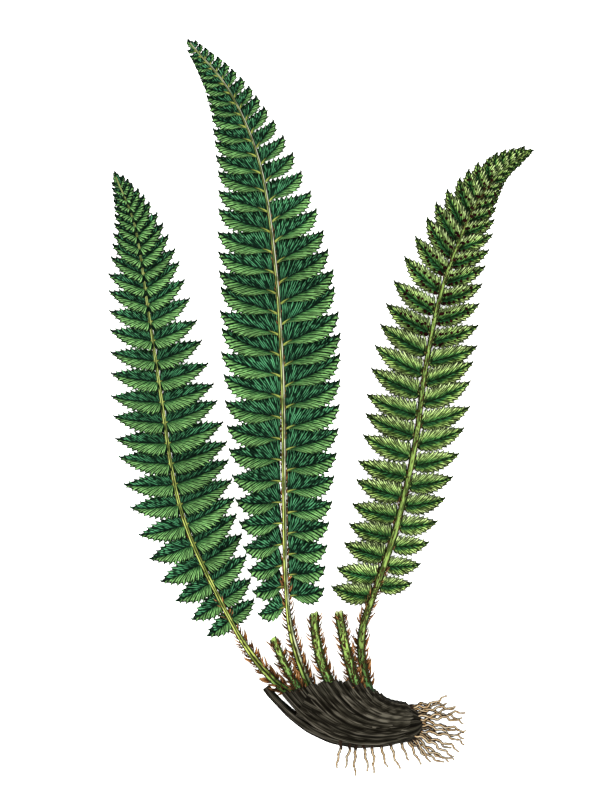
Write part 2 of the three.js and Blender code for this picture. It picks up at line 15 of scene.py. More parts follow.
import bpy
import numpy as np
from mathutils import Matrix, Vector


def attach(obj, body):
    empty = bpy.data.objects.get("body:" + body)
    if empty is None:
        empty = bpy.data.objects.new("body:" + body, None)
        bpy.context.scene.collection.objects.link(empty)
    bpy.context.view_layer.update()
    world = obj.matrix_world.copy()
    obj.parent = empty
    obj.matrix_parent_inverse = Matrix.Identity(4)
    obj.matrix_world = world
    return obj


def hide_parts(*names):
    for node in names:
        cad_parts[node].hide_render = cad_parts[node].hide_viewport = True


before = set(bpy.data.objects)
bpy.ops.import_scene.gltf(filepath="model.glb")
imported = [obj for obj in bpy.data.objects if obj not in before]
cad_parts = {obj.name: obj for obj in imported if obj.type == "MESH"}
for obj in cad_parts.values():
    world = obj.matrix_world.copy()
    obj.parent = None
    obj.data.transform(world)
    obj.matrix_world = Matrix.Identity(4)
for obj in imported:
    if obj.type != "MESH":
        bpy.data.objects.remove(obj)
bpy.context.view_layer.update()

LOG = logging.getLogger("shield_fern")
MM = 0.001
ROOT = "root"
UP = np.array([0.0, 0.0, 1.0])
TURN = 2 * math.pi
Point = tuple[float, float, float]
RadiusAt = Callable[[np.ndarray], np.ndarray]


# Numbers and lines.


def chance(item: float | np.ndarray, use: float) -> float | np.ndarray:
    """A repeatable value from 0 to 1: the fraction of a large, fast sine.

    Args:
        item: which of the repeated things it is for.
        use: what the value is used for.

    Returns:
        A value from 0 to 1 for each item.
    """
    item_step, use_step, size = 12.9898, 78.233, 43758.5453
    wave = np.sin(item * item_step + use * use_step) * size
    return wave - np.floor(wave)


def mix(low: float | np.ndarray, high: float | np.ndarray, share: float | np.ndarray) -> np.ndarray:
    """The value a share of the way from low to high."""
    return low + (high - low) * share


def drawn(item: float, use: float, low: float = 0.0, high: float = 1.0) -> float:
    """One of chance's values, spread from low to high."""
    return float(mix(low, high, chance(item, use)))


def ease(value: float | np.ndarray, low: float, high: float) -> np.ndarray:
    """A smooth step: 0 below low, 1 above high, and three squares less two cubes between."""
    share = np.clip((value - low) / (high - low), 0, 1)
    return share * share * (3 - 2 * share)


def read_off(values: Sequence[float], share: float | np.ndarray) -> np.ndarray:
    """A value read in straight lines off values set at equal steps from 0 to 1."""
    return np.interp(share, np.linspace(0, 1, len(values)), values)


def read_smoothly(values: Sequence[float], share: np.ndarray) -> np.ndarray:
    """A value read off a cubic through values at equal steps, so that it has no corners.

    Args:
        values: values at equal steps from share 0 to share 1.
        share: where to read.

    Returns:
        The values there: a Catmull-Rom cubic, whose end slopes carry straight on.
    """
    held = np.array([2 * values[0] - values[1], *values, 2 * values[-1] - values[-2]])
    place = np.clip(share, 0, 1) * (len(values) - 1)
    step = np.minimum(place.astype(int), len(values) - 2)
    part = place - step
    before, here, after, later = (held[step + i] for i in range(4))
    slope, next_slope = (after - before) / 2, (later - here) / 2
    square = 3 * (after - here) - 2 * slope - next_slope
    cube = 2 * (here - after) + slope + next_slope
    return here + part * (slope + part * (square + part * cube))


def corner_angles(count: int) -> np.ndarray:
    """The angles of a ring's corners, at equal steps of a whole turn."""
    return np.linspace(0, TURN, count, endpoint=False)


def ridges(
    angle: np.ndarray,
    share: np.ndarray,
    rows: Sequence[tuple[float, int, float]],
    phases: Sequence[float],
) -> np.ndarray:
    """Ridges along a rod: each row adds its height times a cosine round the rod.

    Args:
        angle: the angle of each corner.
        share: the share of the rod's length at each ring.
        rows: the height, the number round the rod and the twist along it of each row.
        phases: where each row starts, in radians.

    Returns:
        The height at each ring and corner, as a share of the radius.
    """
    return sum(
        height * np.cos(count * angle + twist * share[:, None] + phase)
        for (height, count, twist), phase in zip(rows, phases)
    )


def unit(vectors: np.ndarray) -> np.ndarray:
    """The vectors, each divided by its length."""
    return vectors / np.linalg.norm(vectors, axis=-1, keepdims=True)


@dataclass(frozen=True)
class Stand:
    """Points of a line with its directions there, each an array of points by 3."""

    at: np.ndarray
    along: np.ndarray
    across: np.ndarray
    up: np.ndarray

    def ring(self, angle: np.ndarray, radius: np.ndarray) -> np.ndarray:
        """Rings round the line: cosine times across and sine times up, times the radius.

        Args:
            angle: the angle of each corner.
            radius: the radius of each point.

        Returns:
            Points, rings by corners by 3.
        """
        side = self.across[:, None] * np.cos(angle)[None, :, None]
        rise = self.up[:, None] * np.sin(angle)[None, :, None]
        return self.at[:, None] + (side + rise) * radius[..., None]


class Path:
    """A smooth line in space, followed by the share of its length."""

    SAMPLES = 60
    BOW_SAMPLES = 240

    def __init__(self, dense: np.ndarray) -> None:
        """Keeps the line and how far along it each of its points is.

        Args:
            dense: close points of the line.
        """
        self.dense = dense
        steps = np.linalg.norm(np.diff(dense, axis=0), axis=1)
        self.run = np.concatenate([[0.0], np.cumsum(steps)])
        self.length = float(self.run[-1])

    @classmethod
    def through(cls, points: Sequence[Point]) -> "Path":
        """A line through points: each coordinate is the cubic of read_smoothly."""
        share = np.linspace(0, 1, (len(points) - 1) * cls.SAMPLES + 1)
        return cls(np.stack([read_smoothly(axis, share) for axis in zip(*points)], -1))

    @classmethod
    def bowed(cls, start: Point, middle: Point, end: Point) -> "Path":
        """A parabola: with s the share, start times the square of 1 - s, middle times twice s
        times 1 - s, and end times the square of s.

        Args:
            start: where it starts.
            middle: where its tangents at both ends meet.
            end: where it ends.

        Returns:
            The line.
        """
        share = np.linspace(0, 1, cls.BOW_SAMPLES)[:, None]
        first, bow, last = (np.array(place, float) for place in (start, middle, end))
        return cls((1 - share) ** 2 * first + 2 * share * (1 - share) * bow + share**2 * last)

    def stand(self, share: float | np.ndarray) -> Stand:
        """The points and directions at shares of the length.

        Args:
            share: shares of the whole length.

        Returns:
            The points, the unit tangents, the sideways directions (tangent times up), and the
            upward directions square to both.
        """
        place = np.atleast_1d(share) * self.length
        at = np.stack([np.interp(place, self.run, axis) for axis in self.dense.T], -1)
        slopes = np.gradient(self.dense, self.run, axis=0)
        along = unit(np.stack([np.interp(place, self.run, axis) for axis in slopes.T], -1))
        across = unit(np.cross(along, UP))
        return Stand(at, along, across, np.cross(across, along))


# Skins and pieces.


@dataclass(frozen=True)
class Skin:
    """Points with the four- and three-cornered faces between them."""

    points: np.ndarray
    quads: np.ndarray
    triangles: np.ndarray

    def volume(self) -> float:
        """The volume that the faces hold, with a minus sign if they point inwards: a sixth of
        the sum of each triangle's first corner times the cross product of its other two.

        Returns:
            The volume, in cubic millimetres.
        """
        first, second, third, fourth = (self.points[self.quads[:, i]] for i in range(4))
        one, two, three = (self.points[self.triangles[:, i]] for i in range(3))
        halves = np.sum(first * np.cross(second, third)) + np.sum(first * np.cross(third, fourth))
        return float(halves + np.sum(one * np.cross(two, three))) / 6

    def outward(self) -> "Skin":
        """The same skin with its faces pointing out."""
        if self.volume() >= 0:
            return self
        return Skin(self.points, self.quads[:, ::-1], self.triangles[:, ::-1])


def closed_over(rings: np.ndarray) -> Skin:
    """A closed skin over lofts: quads from ring to ring and a fan over each end.

    Args:
        rings: lofts by rings by corners by 3. Each loft's ends close to the middles of its
            first and last rings.

    Returns:
        The skin, each loft's ring points first and then its two end points.
    """
    lofts, count, corners = rings.shape[:3]
    ends = np.stack([rings[:, 0].mean(1), rings[:, -1].mean(1)], 1)
    points = np.concatenate([rings.reshape(lofts, -1, 3), ends], 1)
    ring = np.arange(count - 1)[:, None] * corners
    here = np.arange(corners)[None, :]
    beside = (here + 1) % corners
    above = ring + corners
    quads = np.stack([ring + here, ring + beside, above + beside, above + here], -1).reshape(-1, 4)
    last = (count - 1) * corners
    pole = np.full(corners, count * corners)
    first_fan = np.stack([pole, beside[0], here[0]], -1)
    last_fan = np.stack([pole + 1, last + here[0], last + beside[0]], -1)
    offsets = np.arange(lofts)[:, None, None] * points.shape[1]
    every_quad = (quads + offsets).reshape(-1, 4)
    every_triangle = (np.concatenate([first_fan, last_fan]) + offsets).reshape(-1, 3)
    return Skin(points.reshape(-1, 3), every_quad, every_triangle).outward()


def ring_marks(values: np.ndarray) -> np.ndarray:
    """Values of ring points, laid out in the order of closed_over's points.

    Args:
        values: lofts by rings by corners by numbers.

    Returns:
        Points by numbers, where an end point has the mean of its ring.
    """
    ends = np.stack([values[:, 0].mean(1), values[:, -1].mean(1)], 1)
    flat = values.reshape(len(values), -1, values.shape[-1])
    return np.concatenate([flat, ends], 1).reshape(-1, values.shape[-1])


def from_top(angle: np.ndarray) -> np.ndarray:
    """The turn of a ring's corners from its top, from minus to plus a half turn."""
    return np.angle(np.exp(1j * (angle - math.pi / 2)))


def place_in_scene(name: str, data: bpy.types.ID) -> bpy.types.Object:
    """Puts a new object in the scene, at the origin.

    Args:
        name: the object's name.
        data: its mesh, light or camera.

    Returns:
        The object.
    """
    made = bpy.data.objects.new(name, data)
    bpy.context.scene.collection.objects.link(made)
    return made


class Piece:
    """One piece of the plant, gathered skin by skin and then made a mesh object."""

    SHARP_ANGLE = math.radians(55)

    def __init__(self, name: str) -> None:
        """Starts an empty piece.

        Args:
            name: its name.
        """
        self.name = name
        self.points: list[np.ndarray] = []
        self.faces: list[np.ndarray] = []
        self.marks: dict[str, list[np.ndarray]] = {}
        self.count = 0

    def add(self, skin: Skin, **marks: np.ndarray) -> None:
        """Adds a skin.

        Args:
            skin: points and faces, in millimetres.
            marks: values of each point that the finish reads, three numbers a point.
        """
        self.points.append(skin.points)
        self.faces += [skin.quads + self.count, skin.triangles + self.count]
        self.count += len(skin.points)
        for key, values in marks.items():
            self.marks.setdefault(key, []).append(values)

    def make(self, finish: bpy.types.Material, slot: str, stands_for: str = "") -> None:
        """Makes the mesh object, in metres at the origin, and lets it ride with the plant.

        Args:
            finish: its material.
            slot: the record's material slot; not used.
            stands_for: the solid that it replaces, if any.
        """
        mesh = bpy.data.meshes.new(self.name)
        points = np.concatenate(self.points) * MM
        corners = np.concatenate([faces.ravel() for faces in self.faces])
        sizes = np.concatenate([np.full(len(faces), faces.shape[1]) for faces in self.faces])
        starts = np.concatenate([[0], np.cumsum(sizes)[:-1]])
        mesh.vertices.add(len(points))
        mesh.vertices.foreach_set("co", points.astype(np.float32).ravel())
        mesh.loops.add(len(corners))
        mesh.loops.foreach_set("vertex_index", corners.astype(np.int32))
        mesh.polygons.add(len(sizes))
        mesh.polygons.foreach_set("loop_start", starts.astype(np.int32))
        for key, parts in self.marks.items():
            marks = mesh.attributes.new(key, "FLOAT_VECTOR", "POINT")
            marks.data.foreach_set("vector", np.concatenate(parts).astype(np.float32).ravel())
        mesh.update(calc_edges=True)
        mesh.validate()
        mesh.shade_smooth()
        mesh.set_sharp_from_angle(angle=self.SHARP_ANGLE)
        mesh.materials.append(finish)
        made = place_in_scene(self.name, mesh)
        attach(made, ROOT)
        if stands_for:
            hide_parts(stands_for)
        triangles = int(np.sum(sizes - 2))
        LOG.info("%s: %d triangles of %s", self.name, triangles, finish.name)


def add_rod(
    piece: Piece,
    rings: np.ndarray,
    radius: np.ndarray,
    angle: np.ndarray,
    run: np.ndarray,
    name: str,
    mark: Sequence[np.ndarray | float],
) -> None:
    """Adds a closed rod, with the grain that its finish reads: millimetres round and along it.

    Args:
        piece: the piece that takes it.
        rings: its points, rings by corners by 3.
        radius: the radius of each point.
        angle: the angle of each corner.
        run: how far along it each ring is.
        name: the name of its other mark.
        mark: that mark's three numbers, each spread over rings and corners.
    """
    grid = np.ones_like(radius)
    grain = np.stack([radius * np.cos(angle), radius * np.sin(angle), run[:, None] * grid], -1)
    other = np.stack([number * grid for number in mark], -1)
    marks = {"grain": ring_marks(grain[None]), name: ring_marks(other[None])}
    piece.add(closed_over(rings[None]), **marks)


# Finishes.

# The sockets of a colour Mix node, whose names repeat, and those of a Map Range node.
MIX_FACTOR, MIX_UNDER, MIX_OVER, MIXED = 0, 6, 7, 2
RANGE = ("Value", "From Min", "From Max", "To Min", "To Max")

Socket = bpy.types.NodeSocket
Add = Callable[..., Socket]
Stops = tuple[tuple[float, str], ...]


def linear(code: str) -> tuple[float, float, float, float]:
    """A colour turned to linear light: sRGB is straight for dark values and then a power.

    Args:
        code: the sRGB hex value.

    Returns:
        Red, green, blue and an alpha of 1.
    """
    straight_to, slope, offset, power = 0.04045, 12.92, 0.055, 2.4
    parts = [int(code[i : i + 2], 16) / 255 for i in (1, 3, 5)]
    red, green, blue = (
        part / slope if part <= straight_to else ((part + offset) / (1 + offset)) ** power
        for part in parts
    )
    return red, green, blue, 1.0


def set_inputs(node: bpy.types.Node, inputs: dict[str | int, object]) -> None:
    """Sets a node's inputs.

    Args:
        node: the node.
        inputs: for each input, the output that links to it, an sRGB hex value or a value.
    """
    for key, value in inputs.items():
        if isinstance(value, Socket):
            node.id_data.links.new(value, node.inputs[key])
        else:
            node.inputs[key].default_value = linear(value) if isinstance(value, str) else value


def add_node(
    tree: bpy.types.NodeTree,
    kind: str,
    inputs: dict[str | int, object] | None = None,
    output: str | int = 0,
    stops: Stops = (),
    **settings: object,
) -> Socket:
    """Adds a node with its settings and links.

    Args:
        tree: the material's node tree.
        kind: the node's type.
        inputs: values or outputs for its inputs, as set_inputs takes them.
        output: the output that is wanted.
        stops: places from 0 to 1 and sRGB hex values, where it is a colour ramp.
        settings: properties of the node.

    Returns:
        That output.
    """
    node = tree.nodes.new(kind)
    for key, value in settings.items():
        setattr(node, key, value)
    set_inputs(node, inputs or {})
    for number, (place, code) in enumerate(stops):
        elements = node.color_ramp.elements
        element = elements[number] if number < len(elements) else elements.new(place)
        element.position = place
        element.color = linear(code)
    return node.outputs[output]


@dataclass(frozen=True)
class Finish:
    """What all finishes share: a name, how rough and how glossy the skin is, and how deep its
    relief is in millimetres."""

    name: str
    roughness: float
    gloss: float
    relief: float

    RELIEF_STRENGTH = 0.7

    def paint(self, add: Add) -> tuple[Socket, Socket | float]:
        """Paints the skin, which each finish does its own way."""
        raise NotImplementedError

    def material(self) -> bpy.types.Material:
        """Makes the finish's material when it is first asked for.

        Returns:
            The material.
        """
        made = bpy.data.materials.get(self.name)
        if made:
            return made
        made = bpy.data.materials.new(self.name)
        made.use_nodes = True
        add = partial(add_node, made.node_tree)
        colour, height = self.paint(add)
        relief = {"Height": height, "Strength": self.RELIEF_STRENGTH, "Distance": self.relief * MM}
        set_inputs(made.node_tree.nodes["Principled BSDF"], {
            "Base Color": colour, "Normal": add("ShaderNodeBump", relief),
            "Roughness": self.roughness, "Specular IOR Level": self.gloss,
        })
        return made


@dataclass(frozen=True)
class LeafFinish(Finish):
    """A living fern blade: a leathery skin with a soft wax gloss over fine dark veins.

    It reads leaf_place (mm from the midrib, the margin and the rachis), leaf_kind (across from -1
    to 1, vein number, tone) and leaf_face (1 where it shows, 1 where rib and margin are pale).
    Its colours across run from the lower edge at 0 over the midrib at 0.5 to the ear edge at 1,
    the blade's green with painted shade on it: they darken towards the midrib, and on the upper face
    the ear half is painted dark as the shadow of the pinna above. The net is the finest veins, whose
    dark strokes follow the side veins. They are drawn about four times as coarse as real ones to
    show at all. Where net is stronger than lower_net, the extra strokes on the ear half are painted
    shade too.
    """

    across: Stops
    vein: str
    dark: str
    pale: str
    hidden: str
    net: float
    lower_net: float

    VEIN = (0.11, 0.17)
    FINE_VEIN = (0.16, 0.24)
    FINE_STRENGTH = 0.88
    INK_RUN = (0.36, 0.52)
    FAINTEST_INK = 0.35
    MARGIN = (0.4, 0.85)
    RIB = (0.2, 0.55)
    RIM_STRENGTH = 0.95
    MOTTLE_SIZE = 5.0
    GRAIN_SIZE = 1.6
    WANDER_RUN = (0.25, 0.75, -0.12, 0.12)
    NET_SCALE = (3.4, 2.8, 40.0)
    NET_RUN = (0.47, 0.56)
    SIDES_MEET = (-0.2, 0.1)
    BRIGHTNESS_RUN = (0.3, 1.6, 0.8, 1.18)

    def paint(self, add: Add) -> tuple[Socket, Socket | float]:
        """Net, veins, rib and margin laid over the colours across, whose painted shade darkens the
        midrib and the upper face's ear half, and a plain hidden face.

        Args:
            add: adds a node to the material, as add_node does.

        Returns:
            The skin's colour and the height of its relief, from 0 to 1.
        """
        marks = [
            add("ShaderNodeAttribute", output="Vector", attribute_name=name)
            for name in ("leaf_place", "leaf_kind", "leaf_face")
        ]
        place, kind, face = (add("ShaderNodeSeparateXYZ", {0: mark}).node.outputs for mark in marks)
        where = add("ShaderNodeTexCoord", output="Object")
        mottle, grain = (
            add("ShaderNodeTexNoise", {"Vector": where, "Scale": 1 / (size * MM), "Detail": 2.0})
            for size in (self.MOTTLE_SIZE, self.GRAIN_SIZE)
        )
        netting = add("ShaderNodeTexNoise", {
            "Vector": add("ShaderNodeMapping", {0: marks[1], "Scale": self.NET_SCALE}),
            "Scale": 1.0, "Detail": 1.0,
        })
        across, vein_number, tone = kind
        wander = add("ShaderNodeMapRange", dict(zip(RANGE, (mottle, *self.WANDER_RUN))))
        wandering, wobbling, light = (
            add("ShaderNodeMath", {0: first, 1: second}, operation="ADD")
            for first, second in ((across, wander), (vein_number, wander), (tone, mottle))
        )
        doubled = add("ShaderNodeMath", {0: wobbling, 1: 2.0}, operation="MULTIPLY")
        off_vein, off_fine = (
            add("ShaderNodeMath", {0: number, 1: 0.5}, operation="PINGPONG")
            for number in (wobbling, doubled)
        )
        vein, fine, net, ink, side, rib, margin, ramp_place, brightness = (
            add("ShaderNodeMapRange", dict(zip(RANGE, row)))
            for row in (
                (off_vein, *self.VEIN, 1.0, 0.0),
                (off_fine, *self.FINE_VEIN, self.FINE_STRENGTH, 0.0),
                (netting, *self.NET_RUN, 1.0, 0.0),
                (grain, *self.INK_RUN, self.FAINTEST_INK, 1.0),
                # the net's strength by side; where net is above lower_net the ear half's extra strokes
                # are painted shade
                (across, *self.SIDES_MEET, self.lower_net, self.net),
                (place[0], *self.RIB, self.RIM_STRENGTH, 0.0),
                (place[1], *self.MARGIN, self.RIM_STRENGTH, 0.0),
                (wandering, -1.0, 1.0, 0.0, 1.0),
                (light, *self.BRIGHTNESS_RUN),
            )
        )
        inked, netted = (
            add("ShaderNodeMath", {0: first, 1: second}, operation="MULTIPLY")
            for first, second in ((vein, ink), (net, side))
        )
        # the colours across: green with painted shade, darkest at the midrib and, on the upper face,
        # over the ear half
        colour = add("ShaderNodeValToRGB", {0: ramp_place}, stops=self.across)
        rim = add(
            "ShaderNodeMix", {MIX_FACTOR: face[1], MIX_UNDER: self.dark, MIX_OVER: self.pale},
            MIXED, data_type="RGBA",
        )
        for strength, over in (
            (netted, self.vein), (fine, self.vein), (inked, self.vein), (rib, rim), (margin, rim),
        ):
            colour = add(
                "ShaderNodeMix", {MIX_FACTOR: strength, MIX_UNDER: colour, MIX_OVER: over},
                MIXED, data_type="RGBA",
            )
        colour = add(
            "ShaderNodeMix", {MIX_FACTOR: face[0], MIX_UNDER: self.hidden, MIX_OVER: colour},
            MIXED, data_type="RGBA",
        )
        colour = add("ShaderNodeHueSaturation", {"Value": brightness, "Color": colour})
        between = add("ShaderNodeMath", {0: 1.0, 1: vein}, operation="SUBTRACT")
        return colour, between


@dataclass(frozen=True)
class StemFinish(Finish):
    """A fern stalk: smooth green skin streaked along its fibres, with brown flecks where scales
    stood, deeper green at its foot and pale pith where it is cut.

    It reads grain (mm round and along the stem) and stem (the turn from the top as a share of a
    half turn, from -0.5 at the right to 0.5 at the left, mm from its start, 1 on a cut face).
    """

    foot: str
    main: str
    tip: str
    streak: str
    fleck: str
    # line colours the groove's line and the stem's sides with painted shade
    line: str
    flank: str
    cut: str
    groove: float
    flank_strength: float
    shaded_side_run: tuple[float, float]

    FOOT_RUN = (18.0, 42.0)
    TIP_RUN = (120.0, 330.0)
    STREAK_SIZE = (1.0, 9.0)
    STREAK_RUN = (0.47, 0.54, 0.0, 0.8)
    FLECK_SIZE = (1.4, 3.2)
    FLECK_RUN = (0.64, 0.7, 0.0, 0.6)
    FLANK_TURN = (-0.1, -0.13)
    GROOVE_SHADE_TURN = (0.06, 0.11)
    SHADED_SIDE_STRENGTH = 0.9
    BUNDLE_SPACING = 1.5
    BUNDLE_SCATTER = 0.6
    BUNDLE_RUN = (0.2, 0.32)

    def paint(self, add: Add) -> tuple[Socket, Socket | float]:
        """Foot, tip, a paler right flank, streaks, flecks, the groove's dark line and dark sides laid
        over the skin, and the pith with its bundles on a cut. The groove's line and the dark sides,
        where the stem turns away from above, are painted shade.

        Args:
            add: adds a node to the material, as add_node does.

        Returns:
            The skin's colour and the height of its relief, from 0 to 1.
        """
        grain, mark = (
            add("ShaderNodeAttribute", output="Vector", attribute_name=name)
            for name in ("grain", "stem")
        )
        turn, run, is_cut = add("ShaderNodeSeparateXYZ", {0: mark}).node.outputs
        off_top = add("ShaderNodeMath", {0: turn}, operation="ABSOLUTE")
        streaks, flecks = (
            add("ShaderNodeTexNoise", {
                "Vector": add("ShaderNodeMapping", {0: grain, "Scale": (1 / wide, 1 / wide, 1 / long)}),
                "Scale": 1.0, "Detail": 2.0,
            })
            for wide, long in (self.STREAK_SIZE, self.FLECK_SIZE)
        )
        # groove and side masks: painted shade, a dark line in the groove and dark sides where the stem
        # turns away from above
        foot, tip, flank, streak, fleck, groove, side = (
            add("ShaderNodeMapRange", dict(zip(RANGE, row)))
            for row in (
                (run, *self.FOOT_RUN, 1.0, 0.0),
                (run, *self.TIP_RUN, 0.0, 1.0),
                (turn, *self.FLANK_TURN, 0.0, self.flank_strength),
                (streaks, *self.STREAK_RUN),
                (flecks, *self.FLECK_RUN),
                (off_top, *self.GROOVE_SHADE_TURN, self.groove, 0.0),
                (off_top, *self.shaded_side_run, 0.0, self.SHADED_SIDE_STRENGTH),
            )
        )
        bundles = add("ShaderNodeTexVoronoi", {
            "Vector": grain, "Scale": 1 / self.BUNDLE_SPACING, "Randomness": self.BUNDLE_SCATTER,
        })
        stops = tuple(zip(self.BUNDLE_RUN, (self.fleck, self.cut)))
        pith = add("ShaderNodeValToRGB", {0: bundles}, stops=stops)
        colour: Socket | str = self.main
        for strength, over in (
            (tip, self.tip), (foot, self.foot), (flank, self.flank), (streak, self.streak),
            (fleck, self.fleck), (groove, self.line), (side, self.line), (is_cut, pith),
        ):
            colour = add(
                "ShaderNodeMix", {MIX_FACTOR: strength, MIX_UNDER: colour, MIX_OVER: over},
                MIXED, data_type="RGBA",
            )
        return colour, streaks


@dataclass(frozen=True)
class ScaleFinish(Finish):
    """A dry papery fern scale: thin, matt and rust brown, dark at its foot and round its edge.

    It reads scale (the share along the scale, the share across it and its tone).
    """

    stops: Stops
    edge: str
    edge_run: tuple[float, float]
    brightness: tuple[float, float]

    EDGE_STRENGTH = 0.9

    def paint(self, add: Add) -> tuple[Socket, Socket | float]:
        """The dark edge laid over the colours along the scale, lighter or darker by its tone.

        Args:
            add: adds a node to the material, as add_node does.

        Returns:
            The skin's colour and the height of its relief, from 0 to 1.
        """
        mark = add("ShaderNodeAttribute", output="Vector", attribute_name="scale")
        along, across, tone = add("ShaderNodeSeparateXYZ", {0: mark}).node.outputs
        edge, brightness = (
            add("ShaderNodeMapRange", dict(zip(RANGE, row)))
            for row in (
                (across, *self.edge_run, 0.0, self.EDGE_STRENGTH),
                (tone, 0.0, 1.0, *self.brightness),
            )
        )
        colour = add("ShaderNodeMix", {
            MIX_FACTOR: edge, MIX_OVER: self.edge,
            MIX_UNDER: add("ShaderNodeValToRGB", {0: along}, stops=self.stops),
        }, MIXED, data_type="RGBA")
        return add("ShaderNodeHueSaturation", {"Value": brightness, "Color": colour}), along


@dataclass(frozen=True)
class BarkFinish(Finish):
    """Old frond bases turned to bark: dull, near black, with grey-brown crests along the fibres,
    which are drawn about three times as coarse as real ones so that they show. That grey-brown is
    painted highlight on crests that face up, and the hollows and flanks are painted darker, as shade.

    It reads grain (mm round and along) and bark (crest height from 0 to 1, tone, 1 where broken).
    """

    stops: Stops
    broken: str

    FIBRE_SIZE = (0.7, 70.0)
    FIBRE_WEIGHT = 2.5
    PATCH_SIZE = (3.5, 20.0)
    PATCH_WEIGHT = 0.25
    HEIGHT_RUN = (1.1, 2.4)
    BRIGHTNESS = (0.85, 1.15)

    def paint(self, add: Add) -> tuple[Socket, Socket | float]:
        """Colours by height, which is painted light: the crest with noise drawn out along the fibres,
        fine and coarse.

        Args:
            add: adds a node to the material, as add_node does.

        Returns:
            The skin's colour and the height of its relief, from 0 to 1.
        """
        grain, mark = (
            add("ShaderNodeAttribute", output="Vector", attribute_name=name)
            for name in ("grain", "bark")
        )
        crest, tone, broken = add("ShaderNodeSeparateXYZ", {0: mark}).node.outputs
        fibre, patch = (
            add("ShaderNodeTexNoise", {
                "Vector": add("ShaderNodeMapping", {0: grain, "Scale": (1 / wide, 1 / wide, 1 / long)}),
                "Scale": 1.0, "Detail": 2.0,
            })
            for wide, long in (self.FIBRE_SIZE, self.PATCH_SIZE)
        )
        height = crest
        for noise, weight in ((fibre, self.FIBRE_WEIGHT), (patch, self.PATCH_WEIGHT)):
            height = add(
                "ShaderNodeMath", {0: noise, 1: weight, 2: height}, operation="MULTIPLY_ADD"
            )
        shade, brightness = (
            add("ShaderNodeMapRange", dict(zip(RANGE, row)))
            for row in ((height, *self.HEIGHT_RUN, 0.0, 1.0), (tone, 0.0, 1.0, *self.BRIGHTNESS))
        )
        colour = add("ShaderNodeMix", {
            MIX_FACTOR: broken, MIX_OVER: self.broken,
            MIX_UNDER: add("ShaderNodeValToRGB", {0: shade}, stops=self.stops),
        }, MIXED, data_type="RGBA")
        return add("ShaderNodeHueSaturation", {"Value": brightness, "Color": colour}), fibre


@dataclass(frozen=True)
class RootFinish(Finish):
    """A washed fern root: buff and wiry, ringed with brown, darker down its flanks, which is painted
    shade where it turns away from above, and dark where it leaves the rhizome.

    It reads grain (mm round and along) and root (mm from the rhizome, height from -1 below to 1
    above, tone).
    """

    dark: str
    flank: str
    stops: Stops

    RING_SIZE = 1.6
    BURIED_RUN = (-0.5, 0.8)
    SHADED_FLANK_RUN = (0.86, 0.97)
    BRIGHTNESS = (0.85, 1.1)

    def paint(self, add: Add) -> tuple[Socket, Socket | float]:
        """The flanks' painted shade and the buried part laid over the rings' noise, lighter or darker
        by its tone.

        Args:
            add: adds a node to the material, as add_node does.

        Returns:
            The skin's colour and the height of its relief, from 0 to 1.
        """
        grain, mark = (
            add("ShaderNodeAttribute", output="Vector", attribute_name=name)
            for name in ("grain", "root")
        )
        out, height, tone = add("ShaderNodeSeparateXYZ", {0: mark}).node.outputs
        rings = add("ShaderNodeTexNoise", {"Vector": grain, "Scale": 1 / self.RING_SIZE})
        buried, flank, brightness = (
            add("ShaderNodeMapRange", dict(zip(RANGE, row)))
            for row in (
                (out, *self.BURIED_RUN, 1.0, 0.0),
                (height, *self.SHADED_FLANK_RUN, 1.0, 0.0),
                (tone, 0.0, 1.0, *self.BRIGHTNESS),
            )
        )
        colour = add("ShaderNodeValToRGB", {0: rings}, stops=self.stops)
        for strength, over in ((flank, self.flank), (buried, self.dark)):
            colour = add(
                "ShaderNodeMix", {MIX_FACTOR: strength, MIX_UNDER: colour, MIX_OVER: over},
                MIXED, data_type="RGBA",
            )
        return add("ShaderNodeHueSaturation", {"Value": brightness, "Color": colour}), rings


@dataclass(frozen=True)
class PaperFinish(Finish):
    """Smooth white paper under the plant: matt, with a barely visible tooth. It lies on a light
    table, whose faint glow keeps the shadows on it from turning grey."""

    white: str
    shade: str

    TOOTH = 1.1
    TOOTH_RUN = (0.3, 0.7)
    GLOW = 0.55

    def paint(self, add: Add) -> tuple[Socket, Socket | float]:
        """White, a little darker in the tooth, which is fine noise in Object coordinates.

        Args:
            add: adds a node to the material, as add_node does.

        Returns:
            The skin's colour and the height of its relief, from 0 to 1.
        """
        where = add("ShaderNodeTexCoord", output="Object")
        tooth = add("ShaderNodeTexNoise", {"Vector": where, "Scale": 1 / (self.TOOTH * MM)})
        stops = tuple(zip(self.TOOTH_RUN, (self.shade, self.white)))
        return add("ShaderNodeValToRGB", {0: tooth}, stops=stops), tooth

    def material(self) -> bpy.types.Material:
        """Makes the paper's material, with its glow.

        Returns:
            The material.
        """
        made = super().material()
        glow = {"Emission Color": linear(self.white), "Emission Strength": self.GLOW}
        set_inputs(made.node_tree.nodes["Principled BSDF"], glow)
        return made


# The colours across are the blade's green with painted shade: the ear half is painted dark as the pinna
# above's shadow, darkest at the midrib.
UPPER_FACE = LeafFinish(
    name="leathery_leaf_upper_face", roughness=0.6, gloss=0.01, relief=0.25,
    across=(
        (0.0, "#4e7640"), (0.1, "#628a50"), (0.3, "#567f47"), (0.42, "#335c30"),
        (0.5, "#173120"), (0.6, "#2c5a3c"), (0.85, "#407750"), (1.0, "#507848"),
    ),
    vein="#010804", dark="#020804", pale="#767f3a", hidden="#4e613f",
    net=0.95, lower_net=0.55,
)
